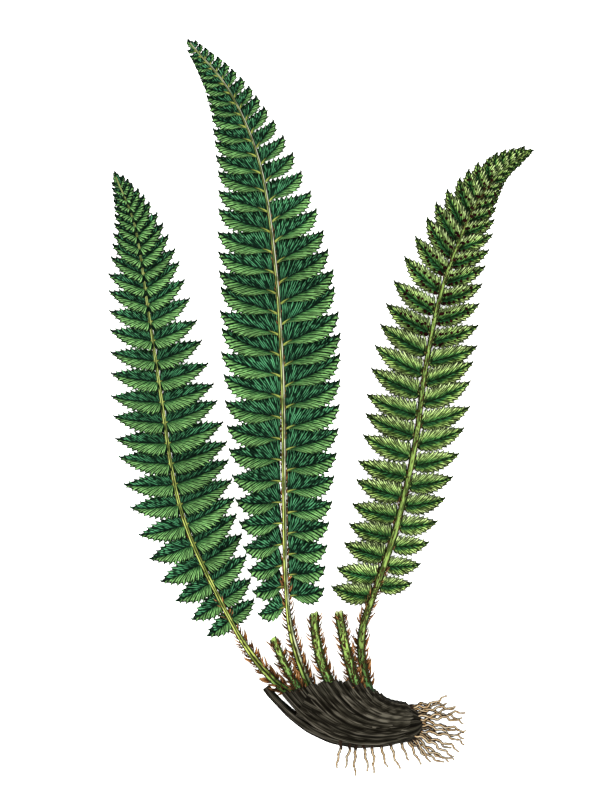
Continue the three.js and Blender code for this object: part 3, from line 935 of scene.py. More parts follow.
# The colours across are the underside's yellow-green with painted shade on it: a dark band round the
# midrib.
UNDERSIDE = LeafFinish(
    name="leathery_leaf_underside", roughness=0.65, gloss=0.01, relief=0.25,
    across=(
        (0.0, "#9aa973"), (0.1, "#96a867"), (0.24, "#709044"), (0.36, "#27532d"),
        (0.5, "#173e24"), (0.6, "#3b6831"), (0.76, "#8ca75c"), (1.0, "#9eab7b"),
    ),
    vein="#040c02", dark="#040b02", pale="#718045", hidden="#2f4e2d",
    net=0.8, lower_net=0.85,
)
# Its line colour is painted shade, in the groove and down the sides.
GROOVED_STALK = StemFinish(
    name="grooved_stalk", roughness=0.6, gloss=0.03, relief=0.4,
    foot="#3a6a2f", main="#8a954a", tip="#727f4a", streak="#2b370d", fleck="#402b13",
    line="#070903", flank="#909086", cut="#888868", groove=0.95, flank_strength=0.85,
    shaded_side_run=(0.2, 0.24),
)
GREEN_STALK = replace(GROOVED_STALK, name="grooved_green_stalk", flank_strength=0.0)
# Its line colour is painted shade down the sides; it has no groove line.
ROUND_STALK = StemFinish(
    name="round_stalk", roughness=0.6, gloss=0.03, relief=0.4,
    foot="#416836", main="#748c45", tip="#6a813f", streak="#112004", fleck="#221707",
    line="#060c03", flank="#748c45", cut="#8d936a", groove=0.0, flank_strength=0.0,
    shaded_side_run=(0.17, 0.22),
)
OLIVE_STALK = replace(
    ROUND_STALK, name="olive_round_stalk", main="#667b3c", tip="#5d7237", flank="#667b3c",
)
PAPERY_SCALE = ScaleFinish(
    name="papery_scale", roughness=0.8, gloss=0.03, relief=0.02,
    stops=((0.0, "#211006"), (0.25, "#60381a"), (0.6, "#8d663f"), (1.0, "#211006")),
    edge="#090302", edge_run=(0.35, 0.9), brightness=(0.12, 1.3),
)
SPORE_HEAP = ScaleFinish(
    name="spore_heap", roughness=0.9, gloss=0.02, relief=0.02,
    stops=((0.0, "#060303"), (0.35, "#220707"), (0.7, "#0f0303"), (1.0, "#040202")),
    edge="#030101", edge_run=(0.5, 1.0), brightness=(0.4, 1.3),
)
# Near black in hollows and on flanks, painted shade, to grey-brown on crests, painted highlight.
BARK = BarkFinish(
    name="old_frond_bases", roughness=0.9, gloss=0.02, relief=0.9,
    stops=((0.0, "#030201"), (0.36, "#070603"), (0.52, "#13110c"), (0.68, "#222019"),
           (0.85, "#322f28"), (1.0, "#434037")),
    broken="#181611",
)
# Its flank colour is painted shade down the root's sides.
WIRY_ROOT = RootFinish(
    name="wiry_root", roughness=0.7, gloss=0.03, relief=0.2, dark="#160c05", flank="#0c0402",
    stops=((0.3, "#7d5f3c"), (0.42, "#907856"), (0.62, "#998c74"), (0.75, "#9d9586")),
)
SHEET = PaperFinish(
    name="white_sheet", roughness=0.9, gloss=0.2, relief=0.02, white="#fafaf8", shade="#f4f4f1",
)


# Pinnae, the leaflets of a frond.


class Side(Enum):
    """A side of a frond, seen from above with its tip away from the viewer."""

    LEFT = -1
    RIGHT = 1


class Face(Enum):
    """Which face of a frond looks up."""

    UPPER = 1
    UNDERSIDE = -1


@dataclass(frozen=True)
class PinnaStand:
    """Where a pinna stands: its root, its directions and its sizes in millimetres."""

    root: np.ndarray
    along: np.ndarray
    tipwards: np.ndarray
    top: np.ndarray
    length: float
    width: float
    curl: float
    lean: float
    stalk: float
    up_blade: float


@dataclass(frozen=True)
class PinnaForm:
    """The form that all pinnae of a frond share, beside where each one stands.

    The half widths are at equal steps from stalk to tip, as shares of a pinna's width. The side
    towards the frond's tip has an ear at its base. Each slant carries that side's base edge along
    the rachis, and the sag bows the outer part of the midrib towards the frond's foot.
    """

    dome: float
    rib_rise: float
    ear_side: tuple[float, ...] = (0.42, 0.56, 0.5, 0.48, 0.47, 0.44, 0.39, 0.32, 0.22, 0.1, 0)
    lower_side: tuple[float, ...] = (0.3, 0.42, 0.46, 0.47, 0.46, 0.43, 0.38, 0.3, 0.2, 0.1, 0)
    ear_slant: float = 0.4
    lower_slant: float = 0.4
    sag: float = 0.02
    pale_lower: float = 0.8
    pale_rib: float = 0.8
    full_pale_length: float = 30.0
    tooth_step: float = 3.3
    fewest_teeth: int = 3
    most_teeth: int = 11
    tooth_depth: float = 0.17
    bristle: float = 0.9
    bristle_push: float = 0.35
    base_round: float = 0.05
    tipward_bend: float = 0.1
    arch: float = 0.06
    stalk_half: float = 0.5
    full_stalk_length: float = 18.0
    stalk_depth: float = 0.9
    thickness: float = 0.35
    vein_power: float = 2.4
    vein_bow: float = 1.25
    wave: float = 0.16
    full_wave_half: float = 6.0
    rib_width: float = 0.55
    rib_fade: float = 0.7


class Blade:
    """The closed skin of one pinna: a domed, veined face over a plainer hidden one.

    Its two parameters are the place c from stalk to tip, where teeth are counted, and the place t
    from the midrib at 0 to an edge at 1. A line of constant c is a vein: it leaves the midrib
    early and bows forwards to the edge.
    """

    ROWS = np.array([0.05, 0.14, 0.3, 0.5, 0.7, 0.87, 1.0])
    HIDDEN_ROWS = np.array([0.4, 0.75])
    BASE_STEPS = np.array([0.0, 0.15, 0.45, 0.78])
    # The edge over one tooth, from notch to notch: how far it is cut in, and where its bristle is.
    TOOTH_CUTS = np.array([1.0, 0.62, 0.28, 0.05, 0.0, 0.5])
    TOOTH_SPIKES = np.array([0.0, 0.0, 0.0, 0.0, 1.0, 0.0])
    EDGE_POWER = 5
    SAG_SCALE = 6.75
    BULGE = 1.3
    FLOOR_REACH = 0.5
    THINNED_BY = 0.15
    FOOT_HEIGHTS = (0.3, -0.6)
    PALE_EDGE = 1.5

    def __init__(self, stand: PinnaStand, form: PinnaForm, tone: float) -> None:
        """Works out the columns of the grid and how the edges are toothed at each.

        Args:
            stand: where the pinna stands.
            form: the form that it shares with its frond's others.
            tone: how light it is, from 0 to 1.
        """
        self.stand, self.form, self.tone = stand, form, tone
        teeth = round(stand.length / form.tooth_step)
        teeth = int(np.clip(teeth, form.fewest_teeth, form.most_teeth))
        self.stalk_share = stand.stalk / stand.length
        self.stalk_half = form.stalk_half * min(1.0, stand.length / form.full_stalk_length)
        parts = len(self.TOOTH_CUTS)
        toothed = np.arange(teeth * parts + 1)
        base = self.BASE_STEPS * form.base_round
        self.columns = np.concatenate([base, mix(form.base_round, 1.0, toothed / toothed[-1])])
        self.teeth_passed = np.concatenate([base * 0, toothed / parts])
        plain = np.zeros(len(base), int)
        self.part = {
            True: np.concatenate([plain, toothed % parts]),
            False: np.concatenate([plain + parts // 2, (toothed + parts // 2) % parts]),
        }

    def half_width(self, ear: bool, column: np.ndarray) -> np.ndarray:
        """The width from midrib to edge without teeth: the side's profile, rounded at its base
        by a quarter of an ellipse.

        Args:
            ear: whether it is the side with the ear.
            column: places c.

        Returns:
            The width at each place.
        """
        profile = self.form.ear_side if ear else self.form.lower_side
        full = read_smoothly(profile, mix(self.stalk_share, 1.0, column)) * self.stand.width
        from_round = 1 - np.minimum(column / self.form.base_round, 1)
        return self.stalk_half + (np.maximum(full, 0) - self.stalk_half) * np.sqrt(1 - from_round**2)

    def lay_out(
        self, ear: bool, column: np.ndarray, rows: np.ndarray, toothed: bool
    ) -> tuple[np.ndarray, np.ndarray, np.ndarray, np.ndarray]:
        """Places on one side of the midrib, before they are bent into space. The height is a
        dome, 1 less the square of t, with a sine wave from vein to vein and a bell curve for the
        midrib. The dome grows with the narrower side's width, and the rest of a wider side bulges
        outwards from it. Teeth and bristles move the edge by a high power of t.

        Args:
            ear: whether it is the side with the ear.
            column: places c.
            rows: places t.
            toothed: whether the columns are the grid's own, whose edges have teeth.

        Returns:
            The share along, the distance from the midrib, the height and the distance from the
            edge, each columns by rows.
        """
        form, stand = self.form, self.stand
        half = self.half_width(ear, column)
        share = mix(self.stalk_share, 1.0, column)
        slant = form.ear_slant if ear else -form.lower_slant
        edge = share + slant * stand.width * stand.lean / stand.length * (1 - share) ** 2
        rib = mix(self.stalk_share, 1.0, column**form.vein_power)
        reach, push = half, np.zeros_like(half)
        if toothed:
            part = self.part[ear]
            cut = form.tooth_depth * self.TOOTH_CUTS[part] * half
            spike = self.TOOTH_SPIKES[part] * min(1.0, stand.length / form.full_stalk_length)
            reach = half - cut + form.bristle * spike
            push = form.bristle_push * form.tooth_step / stand.length * spike
        near_edge = rows**self.EDGE_POWER
        out = rows * (half[:, None] + (reach - half)[:, None] * near_edge)
        along = rib[:, None] + (edge - rib)[:, None] * (1 - (1 - rows) ** form.vein_bow)
        along = along + push[:, None] * near_edge
        shared = np.minimum(half, self.half_width(not ear, column))
        crown = shared[:, None] + self.BULGE * (half - shared)[:, None] * rows
        dome = form.dome * crown * (1 - rows**2) - form.arch * shared[:, None]
        phase = TURN * np.interp(column, self.columns, self.teeth_passed)
        swell = np.minimum(1, half / form.full_wave_half) * np.sin(phase)
        wave = form.wave * swell[:, None] * 4 * rows * (1 - rows)
        rib_shape = np.exp(-((out / form.rib_width) ** 2)) * (1 - form.rib_fade * column[:, None])
        return along, out, dome + wave + form.rib_rise * rib_shape, reach[:, None] - out

    def across(
        self, column: np.ndarray, rows: np.ndarray, toothed: bool
    ) -> tuple[np.ndarray, np.ndarray, np.ndarray, np.ndarray, np.ndarray]:
        """Places from the lower edge over the midrib to the ear edge.

        Args:
            column: places c.
            rows: places t of one side, without the midrib.
            toothed: whether the columns are the grid's own.

        Returns:
            The share along, the signed distance from the midrib, the height, the distance from
            the edge and the signed place t, each columns by places.
        """
        ear = self.lay_out(True, column, np.concatenate([[0.0], rows]), toothed)
        lower = self.lay_out(False, column, rows[::-1], toothed)
        along, out, height, off_edge = (
            np.concatenate([low, high], 1) for low, high in zip(lower, ear)
        )
        sign = np.concatenate([-np.ones(len(rows)), [1.0], np.ones(len(rows))])
        place = np.concatenate([-rows[::-1], [0.0], rows])
        return along, out * sign, height, off_edge, np.broadcast_to(place, along.shape)

    def bend(self, along: np.ndarray, out: np.ndarray, height: np.ndarray) -> np.ndarray:
        """Points in space: with s the share along, the midrib bends towards the frond's tip by
        the square of s, less the sag by that square times 1 - s, and droops by the square. Close
        to the sheet and below it, a height falls off by an exponential and never reaches 0.

        Args:
            along: shares along the pinna.
            out: signed distances from the midrib.
            height: heights over the flat blade.

        Returns:
            The points, with 3 numbers each.
        """
        stand, square = self.stand, self.stand.length * along**2
        sag = self.form.sag * self.SAG_SCALE * (1 - along)
        tipwards = out + (self.form.tipward_bend - sag) * square
        lift = height - stand.curl * square
        run = along[..., None] * stand.length * stand.along
        bent = stand.root + run + tipwards[..., None] * stand.tipwards + lift[..., None] * stand.top
        low = self.FLOOR_REACH * np.exp(np.minimum(0, bent[..., 2] / self.FLOOR_REACH - 1))
        bent[..., 2] = np.maximum(bent[..., 2], low)
        return bent

    def surface(self, column: np.ndarray, place: np.ndarray) -> np.ndarray:
        """Points on the shown face.

        Args:
            column: each point's place c.
            place: each point's signed place t.

        Returns:
            The points, points by 3.
        """
        ear, lower = (
            [grid.diagonal() for grid in self.lay_out(side, column, np.abs(place), False)[:3]]
            for side in (True, False)
        )
        along, out, height = (np.where(place >= 0, high, low) for high, low in zip(ear, lower))
        return self.bend(along, out * np.sign(place), height)

    def add_to(self, piece: Piece) -> None:
        """Adds the closed blade, with the marks that its finish reads.

        Args:
            piece: the piece that takes it.
        """
        shown = self.across(self.columns, self.ROWS, True)
        hidden = [grid[:, ::-1] for grid in self.across(self.columns, self.HIDDEN_ROWS, True)]
        thinned = ease(self.columns, 0.0, self.THINNED_BY)
        depth = mix(self.form.stalk_depth, self.form.thickness, thinned)
        hidden[2] = hidden[2] - depth[:, None]
        along, out, height, off_edge, place = (
            np.concatenate(pair, 1) for pair in zip(shown, hidden)
        )
        shows = np.arange(along.shape[1]) < shown[0].shape[1]
        foot_height = np.where(shows, *self.FOOT_HEIGHTS)
        along = np.concatenate([along[:1] * 0, along])
        out = np.concatenate([place[:1] * self.stalk_half, out])
        height = np.concatenate([foot_height[None], height])
        off_edge = np.concatenate([off_edge[:1] * 0 + 1, off_edge])
        place = np.concatenate([place[:1], place])
        vein = np.concatenate([[0.0], self.teeth_passed])
        grid = np.ones_like(along)
        run = (along - self.stalk_share) * self.stand.length
        reach = np.where(place < 0, self.form.pale_lower, self.form.pale_rib)
        reach = reach * min(1.0, self.stand.length / self.form.full_pale_length)
        near = np.hypot(run, out) / reach
        places = np.stack([np.abs(out), off_edge, run], -1)
        kinds = np.stack([place, vein[:, None] * grid, self.tone * grid], -1)
        faces = np.stack([shows * grid, np.clip(self.PALE_EDGE - near, 0, 1), grid], -1)
        piece.add(
            closed_over(self.bend(along, out, height)[None]),
            leaf_place=ring_marks(places[None]),
            leaf_kind=ring_marks(kinds[None]),
            leaf_face=ring_marks(faces[None]),
        )


# Scales, stems and fronds.


@dataclass(frozen=True)
class ScaleCoat:
    """Papery scales on a stretch of a stem: narrow pointed blades that stand out and hook up it.

    They stand at both sides in turn, or on the upper face. The lean is the angle from the stem at
    which they start, and the hook is how far they turn up the stem, as a share of their length.
    """

    start: float
    end: float
    count: int
    length: float
    width: float
    seed: int
    end_size: float = 0.7
    lean: float = 1.15
    hook: float = 0.75
    crowding: float = 1.15
    side_spread: float = 0.5
    drift: float = 0.15
    on_face: bool = False
    dark: float = 0.0

    STATIONS = np.array([0.0, 0.2, 0.42, 0.64, 0.83, 0.96])
    WIDTHS = np.array([0.6, 0.95, 1.0, 0.8, 0.48, 0.15])
    THICKNESS = 0.1
    SEAT = 0.85
    CLOSING = 0.25
    LOWEST = 0.1
    SIZES = (0.7, 1.2)
    LEAN_SPREAD = 0.16
    HOOK_SPREAD = 0.2
    TWIST_SPREAD = 0.6
    EDGE_CORNERS = np.array([1.0, 0.0, 1.0, 0.0])

    def add_to(self, piece: Piece, path: Path, radius_at: RadiusAt) -> None:
        """Adds the scales: each centre line is a parabola from the stem's skin, and the blade's
        section is a flat diamond across it.

        Args:
            piece: the piece that takes them.
            path: the stem's centre line.
            radius_at: the stem's radius by the share of its length.
        """
        draw = np.random.default_rng(self.seed)
        order = np.arange(self.count)
        up_stem = ((order + draw.random(self.count)) / self.count) ** self.crowding
        share = mix(self.start, self.end, up_stem) / path.length
        stem = path.stand(share)
        middle = math.pi / 2 if self.on_face else order % 2 * math.pi
        angle = middle + draw.normal(0.0, self.side_spread, self.count)
        out = stem.across * np.cos(angle)[:, None] + stem.up * np.sin(angle)[:, None]
        size = self.length * mix(1.0, self.end_size, up_stem) * draw.uniform(*self.SIZES, self.count)
        lean = self.lean + draw.normal(0.0, self.LEAN_SPREAD, self.count)
        first = stem.along * np.cos(lean)[:, None] + out * np.sin(lean)[:, None]
        hook = draw.normal(self.hook, self.HOOK_SPREAD, self.count)[:, None]
        drift = np.cross(stem.along, out) * draw.normal(0.0, self.drift, self.count)[:, None]
        flat = unit(np.cross(first, out))
        twist = 0.0 if self.on_face else math.pi / 2
        twist = twist + draw.normal(0.0, self.TWIST_SPREAD, self.count)
        face = np.cross(flat, first)
        wide = flat * np.cos(twist)[:, None] + face * np.sin(twist)[:, None]
        thin = unit(np.cross(first, wide))
        root = stem.at + out * (radius_at(share) * self.SEAT)[:, None]
        place = self.STATIONS[None, :, None]
        turn = (stem.along - self.CLOSING * out) * hook + drift
        line = first[:, None] * place + turn[:, None] * place**2
        centre = root[:, None] + line * size[:, None, None]
        half = (self.width / 2) * self.WIDTHS * (size / self.length)[:, None]
        side = wide[:, None] * half[..., None]
        depth = thin[:, None] * (self.THICKNESS * self.WIDTHS)[None, :, None]
        rings = np.stack([centre + side, centre + depth, centre - side, centre - depth], 2)
        rings[..., 2] = np.maximum(rings[..., 2], self.LOWEST)
        along = np.broadcast_to(self.STATIONS[None, :, None], rings.shape[:3])
        sideways = np.broadcast_to(self.EDGE_CORNERS, rings.shape[:3])
        tone = draw.random(self.count) * (1 - self.dark)
        tone = np.broadcast_to(tone[:, None, None], rings.shape[:3])
        piece.add(closed_over(rings), scale=ring_marks(np.stack([along, sideways, tone], -1)))


def make_scales(
    name: str, slot: str, coats: Sequence[ScaleCoat], path: Path, radius_at: RadiusAt
) -> None:
    """Makes a stem's coats of scales one piece.

    Args:
        name: the name of the frond or cut stalk.
        slot: the record's material slot.
        coats: the coats.
        path: the stem's centre line.
        radius_at: the stem's radius by the share of its length.
    """
    scales = Piece(f"{name}_scales")
    for coat in coats:
        coat.add_to(scales, path, radius_at)
    scales.make(PAPERY_SCALE.material(), slot)


@dataclass(frozen=True)
class FrondPlan:
    """One frond as it lies: its rachis from inside the rhizome to the tip, where its first
    pinnae stand, how far they reach at equal steps up the blade, how far off the rachis's skin
    they start, and their angles to it at the first pinna, further up and at the tip. Its sori lie
    between two shares of the blade."""

    name: str
    slot: str
    face: Face
    rachis: tuple[Point, ...]
    first_pinna: dict[Side, float]
    reach: dict[Side, tuple[float, ...]]
    clear: dict[Side, float]
    first_angle: dict[Side, float]
    middle_angle: dict[Side, float]
    settled_share: float
    width_share: float
    stalk_radius: float
    rachis_radius: float
    tilt: float
    curl: float
    leaf: LeafFinish
    stem: StemFinish
    form: PinnaForm
    coats: tuple[ScaleCoat, ...]
    seed: int
    tip_angle: float = 46.0
    tip_widening: float = 1.25
    lowest_widening: float = 1.28
    fertile: tuple[float, float] = (math.inf, math.inf)


class Frond:
    """A once-pinnate frond: a stalk and rachis with toothed pinnae, scales and, on a fertile
    underside, sori."""

    LARGEST_SPACING = 12.5
    TIP_SPACING = 3.5
    SPACING_GROWTH = 0.078
    NARROWING_SHARE = 0.5
    SHORT_PINNA = 20.0
    SHORT_WIDENING = 1.12
    WIDENED_SHARE = 0.4
    TIP_WIDE_FROM = 0.68
    LONGEST_STALK_SHARE = 0.3
    LEAST_RACHIS = 0.55
    STALK_TAPER = 1.6
    RACHIS_TAPER = 1.7
    ANGLE_TILT_AND_CURL_SPREAD = (2.5, 2.5, 0.02)
    LEFT_SIDE_ITEM = 0.5
    TONE_ITEM = 0.3
    TONE_USE = 5
    END_SHARE = 0.985
    END_SIZE = (9.5, 5.0, 0.02, 2.0)
    END_TONE = 0.5
    STEM_RINGS = 260
    STEM_CORNERS = 20
    GROOVE = 0.3
    GROOVE_WIDTH = 0.34
    RIBS = ((0.035, 5, 6.0),)

    def __init__(self, plan: FrondPlan) -> None:
        """Lays the rachis through its points.

        Args:
            plan: the frond's plan.
        """
        self.plan = plan
        self.path = Path.through(plan.rachis)
        self.start = min(plan.first_pinna.values())

    def radius_at(self, share: float | np.ndarray) -> np.ndarray:
        """Stalk and rachis radius: thick at the rhizome, slimmer along the blade, fine at the
        tip, where it falls by a power of the share up the blade.

        Args:
            share: shares of the whole length.

        Returns:
            The radius at each.
        """
        plan, stalk_end = self.plan, self.start / self.path.length
        up_stalk = np.minimum(1, share / stalk_end)
        stalk = mix(plan.stalk_radius, plan.rachis_radius, up_stalk**self.STALK_TAPER)
        up_blade = np.maximum(0, (share - stalk_end) / (1 - stalk_end))
        return mix(stalk, self.LEAST_RACHIS, up_blade**self.RACHIS_TAPER)

    def places(self, side: Side) -> list[float]:
        """Where pinnae stand along the rachis, closer and closer towards the tip.

        Args:
            side: the side that they are on.

        Returns:
            The place of each one, in millimetres.
        """
        places = []
        place = self.plan.first_pinna[side]
        while self.path.length - place > self.TIP_SPACING:
            places.append(place)
            growth = self.TIP_SPACING + self.SPACING_GROWTH * (self.path.length - place)
            place += min(self.LARGEST_SPACING, growth)
        return places

    def pinna(self, place: float, side: Side, order: int) -> PinnaStand:
        """How a pinna stands on the frond.

        Args:
            place: millimetres along the rachis.
            side: the side it is on.
            order: its number on that side, for its own small variation.

        Returns:
            The pinna's stand.
        """
        plan, length = self.plan, self.path.length
        up_blade = (place - self.start) / (length - self.start)
        stand = self.path.stand(place / length)
        at, along, up = stand.at[0], stand.along[0], stand.up[0]
        out = stand.across[0] * side.value
        upper = up * plan.face.value
        item = order + (self.LEFT_SIDE_ITEM if side is Side.LEFT else 0.0)
        more_angle, more_tilt, more_curl = (
            drawn(item, plan.seed + use, -spread, spread)
            for use, spread in enumerate(self.ANGLE_TILT_AND_CURL_SPREAD)
        )
        settled = min(1.0, up_blade / plan.settled_share)
        lower_angle = mix(plan.first_angle[side], plan.middle_angle[side], settled)
        narrowing = float(ease(up_blade, self.NARROWING_SHARE, 1.0))
        plain = mix(lower_angle, plan.tip_angle, narrowing)
        angle, tilt = math.radians(plain + more_angle), math.radians(plan.tilt + more_tilt)
        lengthwise = along * math.cos(angle) + out * math.sin(angle)
        flat = along * math.sin(angle) - out * math.cos(angle)
        tipwards = flat * math.cos(tilt) - upper * math.sin(tilt)
        normal = upper * math.cos(tilt) + flat * math.sin(tilt)
        pinna_length = float(read_off(plan.reach[side], up_blade)) / math.sin(math.radians(plain))
        widening = mix(self.SHORT_WIDENING, 1.0, min(1.0, pinna_length / self.SHORT_PINNA))
        widening *= mix(plan.lowest_widening, 1.0, ease(up_blade, 0.0, self.WIDENED_SHARE))
        widening *= mix(1.0, plan.tip_widening, ease(up_blade, self.TIP_WIDE_FROM, 1.0))
        stalk = float(self.radius_at(place / length)) + plan.clear[side]
        return PinnaStand(
            root=at, along=lengthwise, tipwards=tipwards, top=normal * plan.face.value,
            length=pinna_length, width=pinna_length * plan.width_share * float(widening),
            curl=plan.curl + more_curl, lean=1 / math.tan(angle),
            stalk=min(stalk, self.LONGEST_STALK_SHARE * pinna_length), up_blade=up_blade,
        )

    def blades(self) -> list[Blade]:
        """Lays out every pinna of the frond, and the small blade that ends it.

        Returns:
            The blades, that small one last.
        """
        plan = self.plan
        blades = []
        for side in Side:
            for order, place in enumerate(self.places(side)):
                tone = drawn(order + self.TONE_ITEM * side.value, plan.seed + self.TONE_USE)
                stand = self.pinna(place, side, order)
                blades.append(Blade(stand, plan.form, tone))
        end = self.path.stand(self.END_SHARE)
        length, width, curl, stalk = self.END_SIZE
        stand = PinnaStand(
            root=end.at[0], along=end.along[0], tipwards=end.across[0], top=end.up[0],
            length=length, width=width, curl=curl, lean=0.0, stalk=stalk, up_blade=1.0,
        )
        return [*blades, Blade(stand, plan.form, self.END_TONE)]

    def make_pinnae(self, blades: list[Blade]) -> None:
        """Makes the pinnae one piece, which stands for the frond's solid.

        Args:
            blades: the pinnae.
        """
        pinnae = Piece(f"{self.plan.name}_pinnae")
        for blade in blades:
            blade.add_to(pinnae)
        pinnae.make(self.plan.leaf.material(), self.plan.slot, self.plan.name)

    def make_stem(self) -> None:
        """Makes the stalk and rachis: round rings along the path, pressed in along the top where
        the upper face has its groove, and slightly ribbed."""
        plan, path = self.plan, self.path
        share = np.linspace(0, 1, self.STEM_RINGS)
        angle = corner_angles(self.STEM_CORNERS)
        off_top = from_top(angle)
        groove = self.GROOVE * np.exp(-((off_top / self.GROOVE_WIDTH) ** 2))
        ribs = ridges(angle, share, self.RIBS, (0.0,))
        radius = self.radius_at(share)[:, None] * (1 - groove * (plan.face is Face.UPPER) + ribs)
        rings = path.stand(share).ring(angle, radius)
        stem = Piece(f"{plan.name}_stem")
        run = share * path.length
        add_rod(stem, rings, radius, angle, run, "stem", (off_top / math.pi, run[:, None], 0.0))
        stem.make(plan.stem.material(), plan.slot)

    def make_sori(self, blades: list[Blade]) -> None:
        """Makes the sori of the fertile pinnae one piece.

        Args:
            blades: every pinna of the frond.
        """
        low, high = self.plan.fertile
        fertile = [blade for blade in blades if low < blade.stand.up_blade < high]
        if not fertile:
            return
        heaps = Piece(f"{self.plan.name}_sori")
        for order, blade in enumerate(fertile):
            SorusRows().add_to(heaps, blade, order)
        heaps.make(SPORE_HEAP.material(), self.plan.slot)

    def make(self) -> None:
        """Makes every piece of the frond."""
        blades = self.blades()
        self.make_pinnae(blades)
        self.make_stem()
        make_scales(self.plan.name, self.plan.slot, self.plan.coats, self.path, self.radius_at)
        self.make_sori(blades)


class SorusDraw(IntEnum):
    """What the drawn values of a sorus are for."""

    ROW = 3
    PLACE = 4
    SIZE = 6
    TONE = 8


@dataclass(frozen=True)
class SorusRows:
    """Sori, the round heaps of spores: a row on each side of a fertile pinna's midrib."""

    spacing: float = 4.2
    most: int = 7
    first: float = 0.13
    last: float = 0.8
    row: float = 0.42
    row_sizes: tuple[float, float] = (0.8, 1.25)
    place_spread: float = 0.025
    radius: float = 1.15
    sizes: tuple[float, float] = (0.65, 1.25)
    smallest: float = 0.6
    full_pinna: float = 30.0
    outer_loss: float = 0.3
    height: float = 0.8

    FIRST_ITEMS = 31.0
    RINGS = np.array([1.0, 0.9, 0.6, 0.3])
    HEIGHTS = np.array([-0.2, 0.55, 1.0, 0.75])
    CORNERS = 8

    def add_to(self, piece: Piece, blade: Blade, order: int) -> None:
        """Adds one pinna's sori: low cushions, each a few rings that fall in a little at the
        middle.

        Args:
            piece: the piece that takes them.
            blade: the pinna.
            order: its number, for its own small variation.
        """
        count = int(np.clip(blade.stand.length / self.spacing, 1, self.most))
        column = np.tile(np.linspace(self.first, self.last, count), 2)
        row = np.repeat([-self.row, self.row], count)
        item = np.arange(2 * count) + self.FIRST_ITEMS * order
        row = row * mix(*self.row_sizes, chance(item, SorusDraw.ROW))
        moved = mix(-self.place_spread, self.place_spread, chance(item, SorusDraw.PLACE))
        centre = blade.surface(column + moved, row)
        small = min(1.0, mix(self.smallest, 1.0, blade.stand.length / self.full_pinna))
        size = self.radius * small * mix(*self.sizes, chance(item, SorusDraw.SIZE))
        size = size * (1 - self.outer_loss * column)
        angle = corner_angles(self.CORNERS)
        stand = blade.stand
        flat = stand.along * np.cos(angle)[:, None] + stand.tipwards * np.sin(angle)[:, None]
        wide = flat[None, None] * (size[:, None] * self.RINGS)[..., None, None]
        rise = stand.top * (self.height * small * self.HEIGHTS)[None, :, None, None]
        rings = centre[:, None, None] + wide + rise
        out = np.broadcast_to(self.RINGS[None, :, None], rings.shape[:3])
        tone = np.broadcast_to(chance(item, SorusDraw.TONE)[:, None, None], rings.shape[:3])
        piece.add(closed_over(rings), scale=ring_marks(np.stack([1 - out, out, tone], -1)))


# Stalks cut short.


@dataclass(frozen=True)
class CutStalk:
    """A stalk cut short: a ribbed stem with a sunken, slightly slanting cut."""

    name: str
    path: tuple[Point, ...]
    radius: float
    coats: tuple[ScaleCoat, ...]
    seed: int

    SLOT = "cut_stalk"
    FOOT = 1.1
    TOP = 0.82
    RINGS = 70
    CORNERS = 24
    RIBS = ((0.05, 6, 4.0), (0.02, 13, 0.0))
    CUT_RINGS = ((0.9, 0.1), (0.82, 0.45), (0.45, 0.6), (0.15, 0.5))
    RAGGED_FROM = 0.9
    SLANT = 0.7
    NOTCHES = (0.35, 5)

    def radius_at(self, share: float | np.ndarray) -> np.ndarray:
        """The radius, which falls evenly from the foot to the cut."""
        return self.radius * mix(self.FOOT, self.TOP, share)

    def make(self) -> None:
        """Makes the stem, whose last rings turn in over the rim and down into the cut, and its
        coat of scales."""
        path = Path.through(self.path)
        angle = corner_angles(self.CORNERS)
        share = np.linspace(0, 1, self.RINGS)
        stand = path.stand(share)
        ribs = ridges(angle, share, self.RIBS, (self.seed, self.seed))
        radius = self.radius_at(share)[:, None] * (1 + ribs)
        rings = stand.ring(angle, radius)
        notch, notches = self.NOTCHES
        ragged = self.SLANT * np.sin(angle + self.seed) + notch * np.sin(notches * angle)
        ragged = ease(share, self.RAGGED_FROM, 1.0)[:, None] * ragged
        rings = rings + ragged[..., None] * stand.along[-1]
        rim = rings[-1]
        middle = rim.mean(0)
        inner = [
            middle + (rim - middle) * size - stand.along[-1] * depth
            for size, depth in self.CUT_RINGS
        ]
        rings = np.concatenate([rings, np.array(inner)])
        count = len(inner)
        run = np.concatenate([share, np.ones(count)]) * path.length
        shrink = np.array([size for size, _ in self.CUT_RINGS])[:, None]
        radius = np.concatenate([radius, radius[-1:] * shrink])
        cut = np.concatenate([np.zeros(len(share)), np.ones(count)])
        stem = Piece(f"{self.name}_stem")
        marks = (from_top(angle) / math.pi, run[:, None], cut[:, None])
        add_rod(stem, rings, radius, angle, run, "stem", marks)
        stem.make(ROUND_STALK.material(), self.SLOT, self.name)
        make_scales(self.name, self.SLOT, self.coats, path, self.radius_at)


# The rhizome and its roots.


